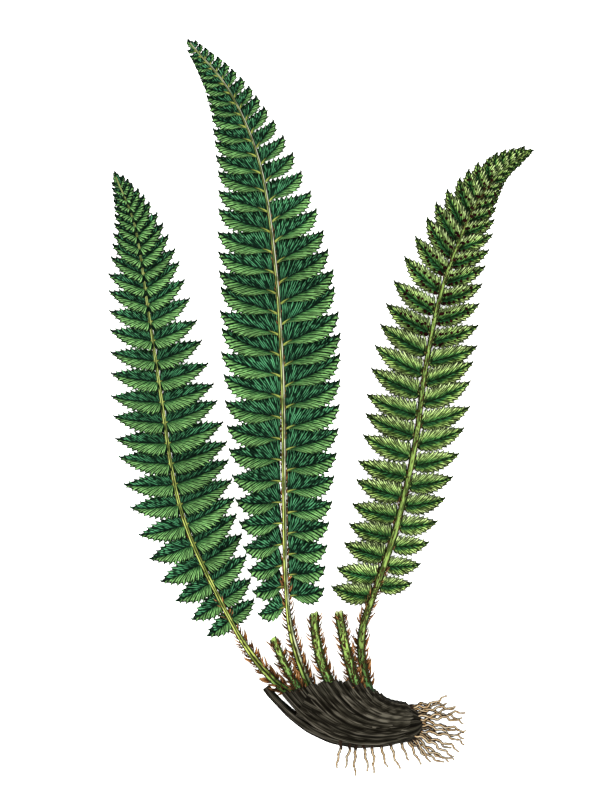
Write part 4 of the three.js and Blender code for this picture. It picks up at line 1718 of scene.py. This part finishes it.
@dataclass(frozen=True)
class Rhizome:
    """The rhizome: a solid heart under strands, the old frond bases, that bow from its root end
    to its upper edge."""

    name: str = "rhizome_with_roots"
    slot: str = "rhizome"
    height: float = 11.5
    upper_edge: tuple[tuple[float, float], ...] = (
        (-47.5, 17), (-35, 14), (-25, 17.5), (-15, 20), (-4, 21), (6, 20.5), (14, 16), (20, 12.5),
    )
    root_end_low: tuple[float, float] = (45, -12)
    root_end_high: tuple[float, float] = (45, 5)
    root_end_rounding: float = 6.0
    root_end_flattening: float = 0.8
    bow: float = 0.34
    depths: tuple[float, float, float] = (7.6, 13.25, 8.5)
    radius_ends: float = 2.4
    radius_swell: float = 1.65
    radius_shift: float = 0.12
    lowest_drop: float = 3.0
    front: tuple[int, float, float] = (9, 0.13, 0.93)
    back: tuple[int, float, float] = (5, 0.16, 0.9)
    thin_size: float = 0.5
    thin_depth: float = 1.12
    heart_path: tuple[Point, ...] = ((46.2, -3.6, 11.5), (10, -10, 11.5), (-24, 10, 11.5))
    heart_radii: tuple[float, float] = (10.2, 13.2)
    heart_rounding: float = 0.14

    RINGS = 90
    CORNERS = 22
    HEART_CORNERS = 40
    FLOOR_CLEAR = 0.05
    # A strand's rounded start, its body, and its end, whose last rings turn back into the hollow.
    START_SHARES = np.array([0.0, 0.015, 0.035, 0.06, 0.09])
    START_SIZES = np.array([0.15, 0.4, 0.62, 0.82, 0.94])
    BODY = (0.12, 0.975)
    END_SHARES = np.array([0.985, 0.994, 1.0, 0.996, 0.985, 0.975])
    END_SIZES = np.array([1.0, 0.96, 0.84, 0.66, 0.4, 0.15])
    END_BROKEN = np.array([0.0, 0.3, 0.8, 1.0, 1.0, 1.0])
    MEAN_SIZE = 0.97
    RIDGES = ((0.08, 3, 2.0), (0.08, 7, -3.0), (0.03, 11, 5.0))
    JOINTS = (0.03, 41.0, 2.0)
    PAINTED_CREST_LIGHT = (0.5, 3.0)
    GRAIN_ITEM = 37.0
    TONE_USE = 9
    HEART_START = np.array([0.0, 0.002, 0.006, 0.015])
    HEART_BODY = 0.03
    HEART_SWELL = (0.1, 0.85)
    HEART_SIZE = 0.95
    HEART_RIDGES = ((0.045, 13, 3.0),)
    HEART_PAINTED_CREST_LIGHT = (0.3, 8.0)
    HEART_TONE = 0.3

    def strand_path(self, rank: float, depth: float, height: float) -> Path:
        """The centre line of one old base, a parabola that bows below its chord.

        Args:
            rank: 0 at the lower edge to 1 at the upper edge.
            depth: -1 at the back to 1 at the front.
            height: the height of the bundle's middle.

        Returns:
            The line, from the root end to the upper edge.
        """
        low, high = np.array(self.root_end_low), np.array(self.root_end_high)
        start = mix(low, high, rank)
        spread = math.hypot(2 * rank - 1, self.root_end_flattening * depth)
        start[0] -= self.root_end_rounding * spread**2
        edge = np.array(self.upper_edge)
        end = np.array([read_off(list(edge[:, axis]), rank) for axis in range(2)])
        chord = start - end
        middle = (start + end) / 2 + self.bow * np.array([chord[1], -chord[0]])
        places = [
            (*flat, height + depth * rise)
            for flat, rise in zip((start, middle, end), self.depths)
        ]
        return Path.bowed(*places)

    def add_strand(self, piece: Piece, path: Path, size: float, seed: int) -> None:
        """Adds one old base: a rod whose radius swells in its middle by a sine, with ridges along
        it and low joints, a sine along it, and blunt and hollow at its broken end. Its crest mark is
        painted light: high on ridges that face up and 0 down the flanks and below, painted shade.

        Args:
            piece: the piece that takes it.
            path: its centre line.
            size: its radius as a share of a full base's.
            seed: the number that its ridges and tone come from.
        """
        body = np.linspace(*self.BODY, self.RINGS)
        share = np.concatenate([self.START_SHARES, body, self.END_SHARES])
        whole = np.ones(len(body))
        taper = np.concatenate([self.START_SIZES, whole, self.END_SIZES])
        broken = np.concatenate([self.START_SIZES * 0, whole * 0, self.END_BROKEN])
        angle = corner_angles(self.CORNERS)
        swell = np.sin(math.pi * np.minimum(1, share + self.radius_shift))
        plain = (self.radius_ends + self.radius_swell * swell) * size
        *phases, joint_phase = (drawn(seed, use, 0.0, TURN) for use in range(len(self.RIDGES) + 1))
        height, count, sway = self.JOINTS
        joints = height * np.sin(count * share[:, None] + joint_phase + sway * np.cos(angle))
        waves = ridges(angle, share, self.RIDGES, phases) + joints
        radius = plain[:, None] * (self.MEAN_SIZE + waves)
        stand = path.stand(share)
        rings = stand.ring(angle, radius * taper[:, None])
        rings[..., 2] = np.maximum(rings[..., 2], self.FLOOR_CLEAR)
        run = share * path.length + self.GRAIN_ITEM * seed
        # crest mark: painted light, high on ridges that face up, 0 on flanks and below as painted shade
        level, steepness = self.PAINTED_CREST_LIGHT
        painted_light_from_above = np.sqrt(np.maximum(0, np.sin(angle)))
        crest = np.clip((level + steepness * waves) * painted_light_from_above, 0, 1)
        marks = (crest, drawn(seed, self.TONE_USE), broken[:, None])
        add_rod(piece, rings, radius, angle, run, "bark", marks)

    def add_heart(self, piece: Piece) -> None:
        """Adds the solid heart, ribbed like the strands that lie on it: it swells by a sine and is
        rounded at the root end by a quarter of an ellipse.

        Args:
            piece: the piece that takes it.
        """
        path = Path.bowed(*self.heart_path)
        share = np.concatenate([self.HEART_START, np.linspace(self.HEART_BODY, 1, self.RINGS)])
        angle = corner_angles(self.HEART_CORNERS)
        swollen = mix(*self.heart_radii, np.sin(math.pi * np.clip(share, *self.HEART_SWELL)))
        rounded = np.sqrt(1 - (1 - np.minimum(1, share / self.heart_rounding)) ** 2)
        waves = ridges(angle, share, self.HEART_RIDGES, (0.0,))
        radius = swollen[:, None] * (self.HEART_SIZE + waves)
        rings = path.stand(share).ring(angle, radius * rounded[:, None])
        rings[..., 2] = np.maximum(rings[..., 2], self.FLOOR_CLEAR)
        # the heart's crest mark is painted highlight on its ridges
        level, steepness = self.HEART_PAINTED_CREST_LIGHT
        marks = (np.clip(level + steepness * waves, 0, 1), self.HEART_TONE, 0.0)
        add_rod(piece, rings, radius, angle, share * path.length, "bark", marks)

    def layer(self, ranks: np.ndarray, depth: float) -> list[Path]:
        """Centre lines of one layer of bases, whose depth is a half circle over their ranks.

        Args:
            ranks: each one's rank, as strand_path takes it.
            depth: the depth of the middle one.

        Returns:
            The lines.
        """
        return [
            self.strand_path(rank, depth * math.sqrt(1 - (2 * rank - 1) ** 2), self.height)
            for rank in ranks
        ]

    def make(self) -> None:
        """Makes the heart and every strand one piece, which stands for the rhizome's solid: full
        strands at its two edges, its front and its back, and thin ones between the front's."""
        bark = Piece("rhizome_old_bases")
        self.add_heart(bark)
        lower = self.strand_path(0, 0, self.height - self.lowest_drop)
        upper = self.strand_path(1, 0, self.height)
        (front, *front_ends), (back, *back_ends) = self.front, self.back
        ranks = np.linspace(*front_ends, front)
        between = (ranks[1:] + ranks[:-1]) / 2
        full = [
            lower, upper, *self.layer(ranks, 1), *self.layer(np.linspace(*back_ends, back), -1),
        ]
        thin = self.layer(between, self.thin_depth)
        sizes = [1.0] * len(full) + [self.thin_size] * len(thin)
        for seed, (path, size) in enumerate(zip(full + thin, sizes), 1):
            self.add_strand(bark, path, size, seed)
        bark.make(BARK.material(), self.slot, self.name)


class RootDraw(IntEnum):
    """What the drawn values of a root are for."""

    FAN_HEADING = 0
    FAN_HEIGHT = 1
    FAN_LENGTH = 2
    WAVE_PHASE = 3
    WAVE_TURNS = 4
    TIP_HEIGHT = 5
    ROW_HEIGHT = 6
    ROW_LENGTH = 7
    ROW_PLACE = 8
    ROW_HEADING = 9
    RIPPLE_PHASE = 11
    SIZE_PHASE = 12
    TONE = 13


@dataclass(frozen=True)
class Roots:
    """Wiry roots: a fan from the rhizome's root end and a row along its lower edge."""

    radius: float = 1.0
    tip_size: float = 0.55
    points: int = 6
    wave: float = 1.5
    wave_growth: float = 1.6
    wave_turns: tuple[float, float] = (3.5, 6)
    wave_rise: float = 0.5
    drop_power: float = 1.2
    tip_heights: tuple[float, float] = (1.1, 4)
    ripple: float = 0.75
    ripple_length: float = 9.5
    ripple_from: tuple[float, float] = (0.0, 0.25)
    clearance: float = 0.15
    fan_count: int = 18
    fan_headings: tuple[float, float] = (13, -38)
    fan_spread: float = 4.5
    fan_out: float = 40.0
    fan_setback: float = 6.0
    fan_furthest: float = 0.45
    fan_width: tuple[float, float] = (6, -14)
    fan_heights: tuple[float, float] = (5.5, 19)
    fan_lengths: tuple[float, float] = (29, 37)
    fan_shortening: float = 12.0
    fan_dark: float = 3.0
    row_count: int = 10
    row_headings: tuple[float, float] = (-100, -52)
    row_spread: float = 5.0
    row_start: tuple[float, float] = (-2, 38)
    row_shift: float = 1.0
    row_edge: tuple[float, float] = (-12, -8)
    row_heights: tuple[float, float] = (15, 19)
    row_lengths: tuple[float, float] = (19, 25)
    row_waviness: float = 0.45
    row_dark: float = 9.0

    RINGS = 44
    CORNERS = 12
    OVERTONE = (0.3, 2.3)
    SWELL = (0.1, 2.1)
    GRAIN_ITEM = 17.0

    def waviness(self, item: int) -> float:
        """How strongly a root waves: fully in the fan, less in the row."""
        return 1.0 if item < self.fan_count else self.row_waviness

    def root_path(self, start: Point, heading: float, length: float, item: int) -> Path:
        """A root's line: straight along its heading but for a growing sine wave, falling to the
        surface by a power of the share.

        Args:
            start: where it leaves the rhizome.
            heading: its direction over the surface, in degrees.
            length: how far it reaches.
            item: the number that its wave comes from.

        Returns:
            The line.
        """
        turn = math.radians(heading)
        phase = drawn(item, RootDraw.WAVE_PHASE, 0.0, TURN)
        turns = drawn(item, RootDraw.WAVE_TURNS, *self.wave_turns)
        tip_height = drawn(item, RootDraw.TIP_HEIGHT, *self.tip_heights)
        share = np.arange(self.points + 1) / self.points
        wave = self.wave * self.waviness(item) * np.minimum(1, self.wave_growth * share)
        wave = wave * np.sin(phase + share * turns)
        height = mix(start[2], tip_height, share**self.drop_power) + self.wave_rise * wave
        along = start[0] + length * share * math.cos(turn) - wave * math.sin(turn)
        side = start[1] + length * share * math.sin(turn) + wave * math.cos(turn)
        placed = np.stack([along, side, np.maximum(height, self.radius + self.clearance)], -1)
        return Path.through([tuple(point) for point in placed])

    def add_root(self, piece: Piece, path: Path, buried: float, item: int) -> None:
        """Adds a root: round rings along its line, which ripples by two sines and tapers.

        Args:
            piece: the piece that takes it.
            path: its line.
            buried: how much of it is dark or inside the rhizome, in millimetres.
            item: the number that its ripple comes from.
        """
        share = np.linspace(0, 1, self.RINGS)
        angle = corner_angles(self.CORNERS)
        stand = path.stand(share)
        run = share * path.length
        phase = TURN * run / self.ripple_length + drawn(item, RootDraw.RIPPLE_PHASE, 0.0, TURN)
        strength, times = self.OVERTONE
        ripple = np.sin(phase) + strength * np.sin(times * phase)
        ripple = ease(share, *self.ripple_from) * self.ripple * self.waviness(item) * ripple
        moved = stand.at + stand.across * ripple[:, None]
        swell, times = self.SWELL
        swell = swell * np.sin(run * times + drawn(item, RootDraw.SIZE_PHASE, 0.0, TURN))
        size = self.radius * mix(1.0, self.tip_size, share**2) * (1 + swell)
        moved[:, 2] = np.maximum(moved[:, 2], size + self.clearance)
        radii = size[:, None] * np.ones(self.CORNERS)
        rings = Path(moved).stand(share).ring(angle, radii)
        marks = (run[:, None] - buried, np.sin(angle), drawn(item, RootDraw.TONE))
        add_rod(piece, rings, radii, angle, run + self.GRAIN_ITEM * item, "root", marks)

    def fan(self) -> list[Path]:
        """Lays out the fan of roots from the root end, which starts furthest out near its middle.

        Returns:
            The roots' lines.
        """
        lines = []
        for item in range(self.fan_count):
            share = (item + 0.5) / self.fan_count
            turned = drawn(item, RootDraw.FAN_HEADING, -self.fan_spread, self.fan_spread)
            start = (
                self.fan_out - self.fan_setback * abs(share - self.fan_furthest),
                mix(*self.fan_width, share),
                drawn(item, RootDraw.FAN_HEIGHT, *self.fan_heights),
            )
            length = drawn(item, RootDraw.FAN_LENGTH, *self.fan_lengths)
            length -= self.fan_shortening * abs(share - 0.5)
            heading = mix(*self.fan_headings, share) + turned
            lines.append(self.root_path(start, heading, length, item))
        return lines

    def row(self) -> list[Path]:
        """Lays out the row along the lower edge.

        Returns:
            The roots' lines.
        """
        lines = []
        for i in range(self.row_count):
            share = i / (self.row_count - 1)
            turned = drawn(i, RootDraw.ROW_HEADING, -self.row_spread, self.row_spread)
            moved = drawn(i, RootDraw.ROW_PLACE, -self.row_shift, self.row_shift)
            start = (
                mix(*self.row_start, share) + moved,
                mix(*self.row_edge, share**2),
                drawn(i, RootDraw.ROW_HEIGHT, *self.row_heights),
            )
            length = drawn(i, RootDraw.ROW_LENGTH, *self.row_lengths)
            heading = mix(*self.row_headings, share) + turned
            lines.append(self.root_path(start, heading, length, i + self.fan_count))
        return lines

    def make(self) -> None:
        """Makes the roots one piece."""
        roots = Piece("rhizome_roots")
        for item, path in enumerate(self.fan() + self.row()):
            buried = self.fan_dark if item < self.fan_count else self.row_dark
            self.add_root(roots, path, buried, item)
        roots.make(WIRY_ROOT.material(), "rhizome")


# The plant's own plan.

LEFT_FORM = PinnaForm(
    dome=0.2, rib_rise=-0.35,
    ear_side=(0.46, 0.63, 0.58, 0.56, 0.54, 0.5, 0.43, 0.34, 0.23, 0.1, 0),
    lower_side=(0.4, 0.48, 0.5, 0.5, 0.48, 0.44, 0.38, 0.3, 0.2, 0.1, 0),
)
MIDDLE_FORM = PinnaForm(
    dome=0.2, rib_rise=-0.35,
    ear_side=(0.7, 0.86, 0.84, 0.77, 0.67, 0.57, 0.46, 0.34, 0.22, 0.09, 0),
    lower_side=(0.03, 0.03, 0.12, 0.24, 0.33, 0.38, 0.41, 0.4, 0.33, 0.19, 0),
    lower_slant=0.0, sag=0.05, pale_lower=2.0, pale_rib=4.0,
)
RIGHT_FORM = PinnaForm(
    dome=0.07, rib_rise=0.5,
    lower_side=(0.1, 0.26, 0.37, 0.43, 0.46, 0.45, 0.41, 0.34, 0.24, 0.12, 0),
    ear_slant=0.45, lower_slant=0.1, tooth_depth=0.14, bristle=0.7,
)


def pressed_coat(start: float, end: float, count: int, seed: int) -> ScaleCoat:
    """Small dark scales that lie curved on all of a stem's face, thickest at its foot."""
    return ScaleCoat(start=start, end=end, count=count, length=3.6, width=0.95, lean=0.45, hook=0.0,
                     crowding=1.2, side_spread=0.75, drift=0.5, on_face=True, dark=0.95, seed=seed)


FRONDS = (
    FrondPlan(
        name="frond_left",
        slot="frond_upper_face",
        face=Face.UPPER,
        rachis=(
            (-22, 4.5, 8.5), (-29, 11, 11), (-43.8, 22.2, 13), (-60, 42.6, 16.5), (-76.2, 72, 19.3),
            (-93, 108, 18.8), (-102.5, 141, 16.4), (-110.4, 192, 11), (-118, 243, 5.9),
            (-126, 293, 2.7), (-137.4, 322.8, 2.6),
        ),
        first_pinna={Side.LEFT: 72.4, Side.RIGHT: 72.4},
        reach={
            Side.LEFT: (17, 27, 29.5, 31.5, 30.5, 26, 21.5, 12, 2.6),
            Side.RIGHT: (19, 29.5, 34.5, 36.5, 33, 29, 24, 14.5, 3.6),
        },
        clear={Side.LEFT: -0.7, Side.RIGHT: -0.3},
        first_angle={Side.LEFT: 103, Side.RIGHT: 84},
        middle_angle={Side.LEFT: 76, Side.RIGHT: 80},
        settled_share=0.35,
        width_share=0.48,
        stalk_radius=2.8,
        rachis_radius=1.45,
        tilt=17,
        curl=0.1,
        leaf=UPPER_FACE,
        stem=GREEN_STALK,
        form=LEFT_FORM,
        coats=(
            ScaleCoat(start=18, end=86, count=118, length=5.2, width=1.5, seed=11),
            pressed_coat(18, 62, 24, 14),
            ScaleCoat(start=80, end=250, count=90, length=2.2, width=0.8, lean=0.5,
                      dark=0.9, seed=12),
        ),
        seed=1,
    ),
    FrondPlan(
        name="frond_middle",
        slot="frond_upper_face",
        face=Face.UPPER,
        rachis=(
            (-11.5, 1.5, 9.5), (-15.6, 9, 12), (-24, 24, 15.5), (-32.4, 51, 22), (-35.5, 84, 27.5),
            (-36.6, 140, 32), (-37.5, 204, 30.5), (-41.8, 270, 22), (-51, 330, 10.8),
            (-69, 373.5, 3.3), (-93, 403.2, 1.3),
        ),
        first_pinna={Side.LEFT: 70.9, Side.RIGHT: 76.9},
        reach={
            Side.LEFT: (18, 26.5, 33.5, 37, 36, 32.5, 25, 14, 2.8),
            Side.RIGHT: (22.5, 27.5, 33.5, 36.5, 36, 29.5, 19.5, 11, 3.2),
        },
        clear={Side.LEFT: 0.3, Side.RIGHT: 0.3},
        first_angle={Side.LEFT: 106, Side.RIGHT: 90},
        middle_angle={Side.LEFT: 66, Side.RIGHT: 63},
        settled_share=0.4,
        width_share=0.5,
        stalk_radius=3,
        rachis_radius=1.5,
        tilt=17,
        curl=0.1,
        leaf=UPPER_FACE,
        stem=GROOVED_STALK,
        form=MIDDLE_FORM,
        coats=(
            ScaleCoat(start=18, end=88, count=122, length=5.2, width=1.5, seed=21),
            pressed_coat(18, 68, 28, 24),
            ScaleCoat(start=82, end=310, count=170, length=2.8, width=0.9, lean=0.5,
                      dark=0.4, seed=22),
        ),
        lowest_widening=1.4,
        seed=2,
    ),
    FrondPlan(
        name="frond_right",
        slot="frond_underside",
        face=Face.UNDERSIDE,
        rachis=(
            (18.5, 2, 9), (16.2, 9, 11), (10.5, 30, 11), (10.5, 52, 9.4), (19.2, 78, 7),
            (31.2, 114, 4.2), (42, 162, 2.3), (48.6, 210, 3.6), (58, 255, 7.4), (73.8, 297, 13.6),
            (90, 322, 18.8), (109.2, 337.2, 24),
        ),
        first_pinna={Side.LEFT: 71.6, Side.RIGHT: 78.6},
        reach={
            Side.LEFT: (25.5, 28, 32, 34, 33.5, 30, 23.5, 13, 3),
            Side.RIGHT: (20, 22.5, 27, 30.5, 29.5, 25, 18.5, 8, 2),
        },
        clear={Side.LEFT: -0.3, Side.RIGHT: -0.3},
        first_angle={Side.LEFT: 102, Side.RIGHT: 72},
        middle_angle={Side.LEFT: 74, Side.RIGHT: 64},
        settled_share=0.45,
        width_share=0.46,
        stalk_radius=3,
        rachis_radius=2.1,
        tilt=15,
        curl=-0.08,
        leaf=UNDERSIDE,
        stem=OLIVE_STALK,
        form=RIGHT_FORM,
        coats=(
            ScaleCoat(start=16, end=90, count=112, length=5.2, width=1.45, seed=31),
            pressed_coat(16, 90, 190, 33),
            ScaleCoat(start=84, end=335, count=380, length=3.2, width=0.6, end_size=0.8, lean=0.4,
                      hook=0.0, crowding=0.9, side_spread=1.0, drift=0.5, on_face=True, dark=0.9,
                      seed=32),
            ScaleCoat(start=84, end=300, count=110, length=2.6, width=0.9, lean=0.7, dark=0.7,
                      seed=34),
        ),
        tip_angle=34.0,
        tip_widening=1.4,
        fertile=(0.53, 0.9),
        seed=3,
    ),
)


# A cut stalk's coats: where they start, how many scales two of them have to a millimetre of it,
# how far below the cut the rim's coat starts, and what sets the draws of two of them apart.
STUB_COAT_START = 12
HOOKED_PER_MM = 1.4
PRESSED_PER_MM = 3.6
RIM_COAT_DEPTH = 2.5
PRESSED_SEED = 10
RIM_SEED = 20


def stub_coats(end: float, seed: int) -> tuple[ScaleCoat, ...]:
    """A cut stalk's coats: hooked scales at its sides, dark pressed ones on its face and a few
    round the rim of its cut.

    Args:
        end: how far along the stalk its cut is.
        seed: the number that they are drawn from.

    Returns:
        The coats.
    """
    start = STUB_COAT_START
    hooked = ScaleCoat(start=start, end=end, count=round(HOOKED_PER_MM * end), length=4.8,
                       width=1.3, end_size=0.85, crowding=1.1, seed=seed)
    pressed = pressed_coat(start, end, round(PRESSED_PER_MM * end), seed + PRESSED_SEED)
    rim = ScaleCoat(start=end - RIM_COAT_DEPTH, end=end, count=26, length=2.8, width=1.2, lean=0.6,
                    hook=0.3, side_spread=1.8, dark=0.6, seed=seed + RIM_SEED)
    return hooked, pressed, rim


CUT_STALKS = (
    CutStalk(
        name="cut_stalk_left",
        path=(
            (-19.5, 5, 10), (-25, 12, 15.5), (-31.8, 22.2, 19.6), (-37.2, 33, 22), (-43.2, 46.8, 23.5),
        ),
        radius=2.7,
        coats=stub_coats(48, 41),
        seed=1,
    ),
    CutStalk(
        name="cut_stalk_middle",
        path=(
            (-0.5, 3, 8), (-3.6, 10, 12), (-9.6, 21, 17.8), (-14.4, 33, 20), (-17.6, 48, 21.5),
            (-18.6, 61.8, 22),
        ),
        radius=3.2,
        coats=stub_coats(62, 42),
        seed=2,
    ),
    CutStalk(
        name="cut_stalk_right",
        path=(
            (12.8, 3, 9), (10.4, 10, 13), (5.6, 22, 19.4), (2.4, 33, 21.5), (-1.2, 48, 22.5),
            (-3.8, 62.4, 22.5),
        ),
        radius=3.2,
        coats=stub_coats(62, 43),
        seed=3,
    ),
)


# Studio.


@dataclass(frozen=True)
class Studio:
    """A white sheet, soft light from the lower left and a long lens looking straight down."""

    centre: tuple[float, float] = (-27.0, 189.0)
    frame_height: float = 480.0
    lens: float = 400.0
    sensor: float = 36.0
    sheet_half: float = 4000.0
    sky: float = 3.3
    key_power: float = 8.0
    key_size: float = 1400.0
    key_place: Point = (-700.0, -900.0, 1500.0)
    furthest_seen: float = 20000.0

    def add_sheet(self) -> None:
        """Lays the sheet under the plant, with its top at z = 0."""
        half = self.sheet_half * MM
        mesh = bpy.data.meshes.new("sheet")
        corners = [(-half, -half, 0), (half, -half, 0), (half, half, 0), (-half, half, 0)]
        mesh.from_pydata(corners, [], [(0, 1, 2, 3)])
        mesh.materials.append(SHEET.material())
        sheet = place_in_scene("sheet", mesh)

    def add_light(self) -> None:
        """Adds a white sky and one large soft light."""
        world = bpy.data.worlds.new("soft_sky")
        world.use_nodes = True
        sky = world.node_tree.nodes["Background"]
        sky.inputs["Color"].default_value = linear("#ffffff")
        sky.inputs["Strength"].default_value = self.sky
        bpy.context.scene.world = world
        light = bpy.data.lights.new("key", "AREA")
        light.energy = self.key_power
        light.size = self.key_size * MM
        key = place_in_scene("key", light)
        key.location = Vector(self.key_place) * MM
        target = Vector((*self.centre, 0.0)) * MM
        key.rotation_euler = (target - key.location).to_track_quat("-Z", "Y").to_euler()

    def add_camera(self) -> None:
        """Adds the camera, as high as its lens needs to take in the frame, and shows its picture
        in plain sRGB colours."""
        lens = bpy.data.cameras.new("camera")
        lens.lens = self.lens
        lens.sensor_width = self.sensor
        lens.clip_end = self.furthest_seen * MM
        camera = place_in_scene("camera", lens)
        height = self.frame_height * self.lens / self.sensor
        camera.location = Vector((*self.centre, height)) * MM
        bpy.context.scene.camera = camera
        bpy.context.scene.view_settings.view_transform = "Standard"

    def make(self) -> None:
        """Makes the whole studio."""
        self.add_sheet()
        self.add_light()
        self.add_camera()


def write_sizes() -> None:
    """Updates the view layer."""
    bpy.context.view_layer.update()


def main() -> None:
    """Makes the plant piece by piece and lays it in the studio."""
    logging.basicConfig(level=logging.INFO, format="%(message)s")
    Studio().make()
    Rhizome().make()
    Roots().make()
    for plan in FRONDS:
        Frond(plan).make()
    for stalk in CUT_STALKS:
        stalk.make()
    write_sizes()


if __name__ == "__main__":
    main()
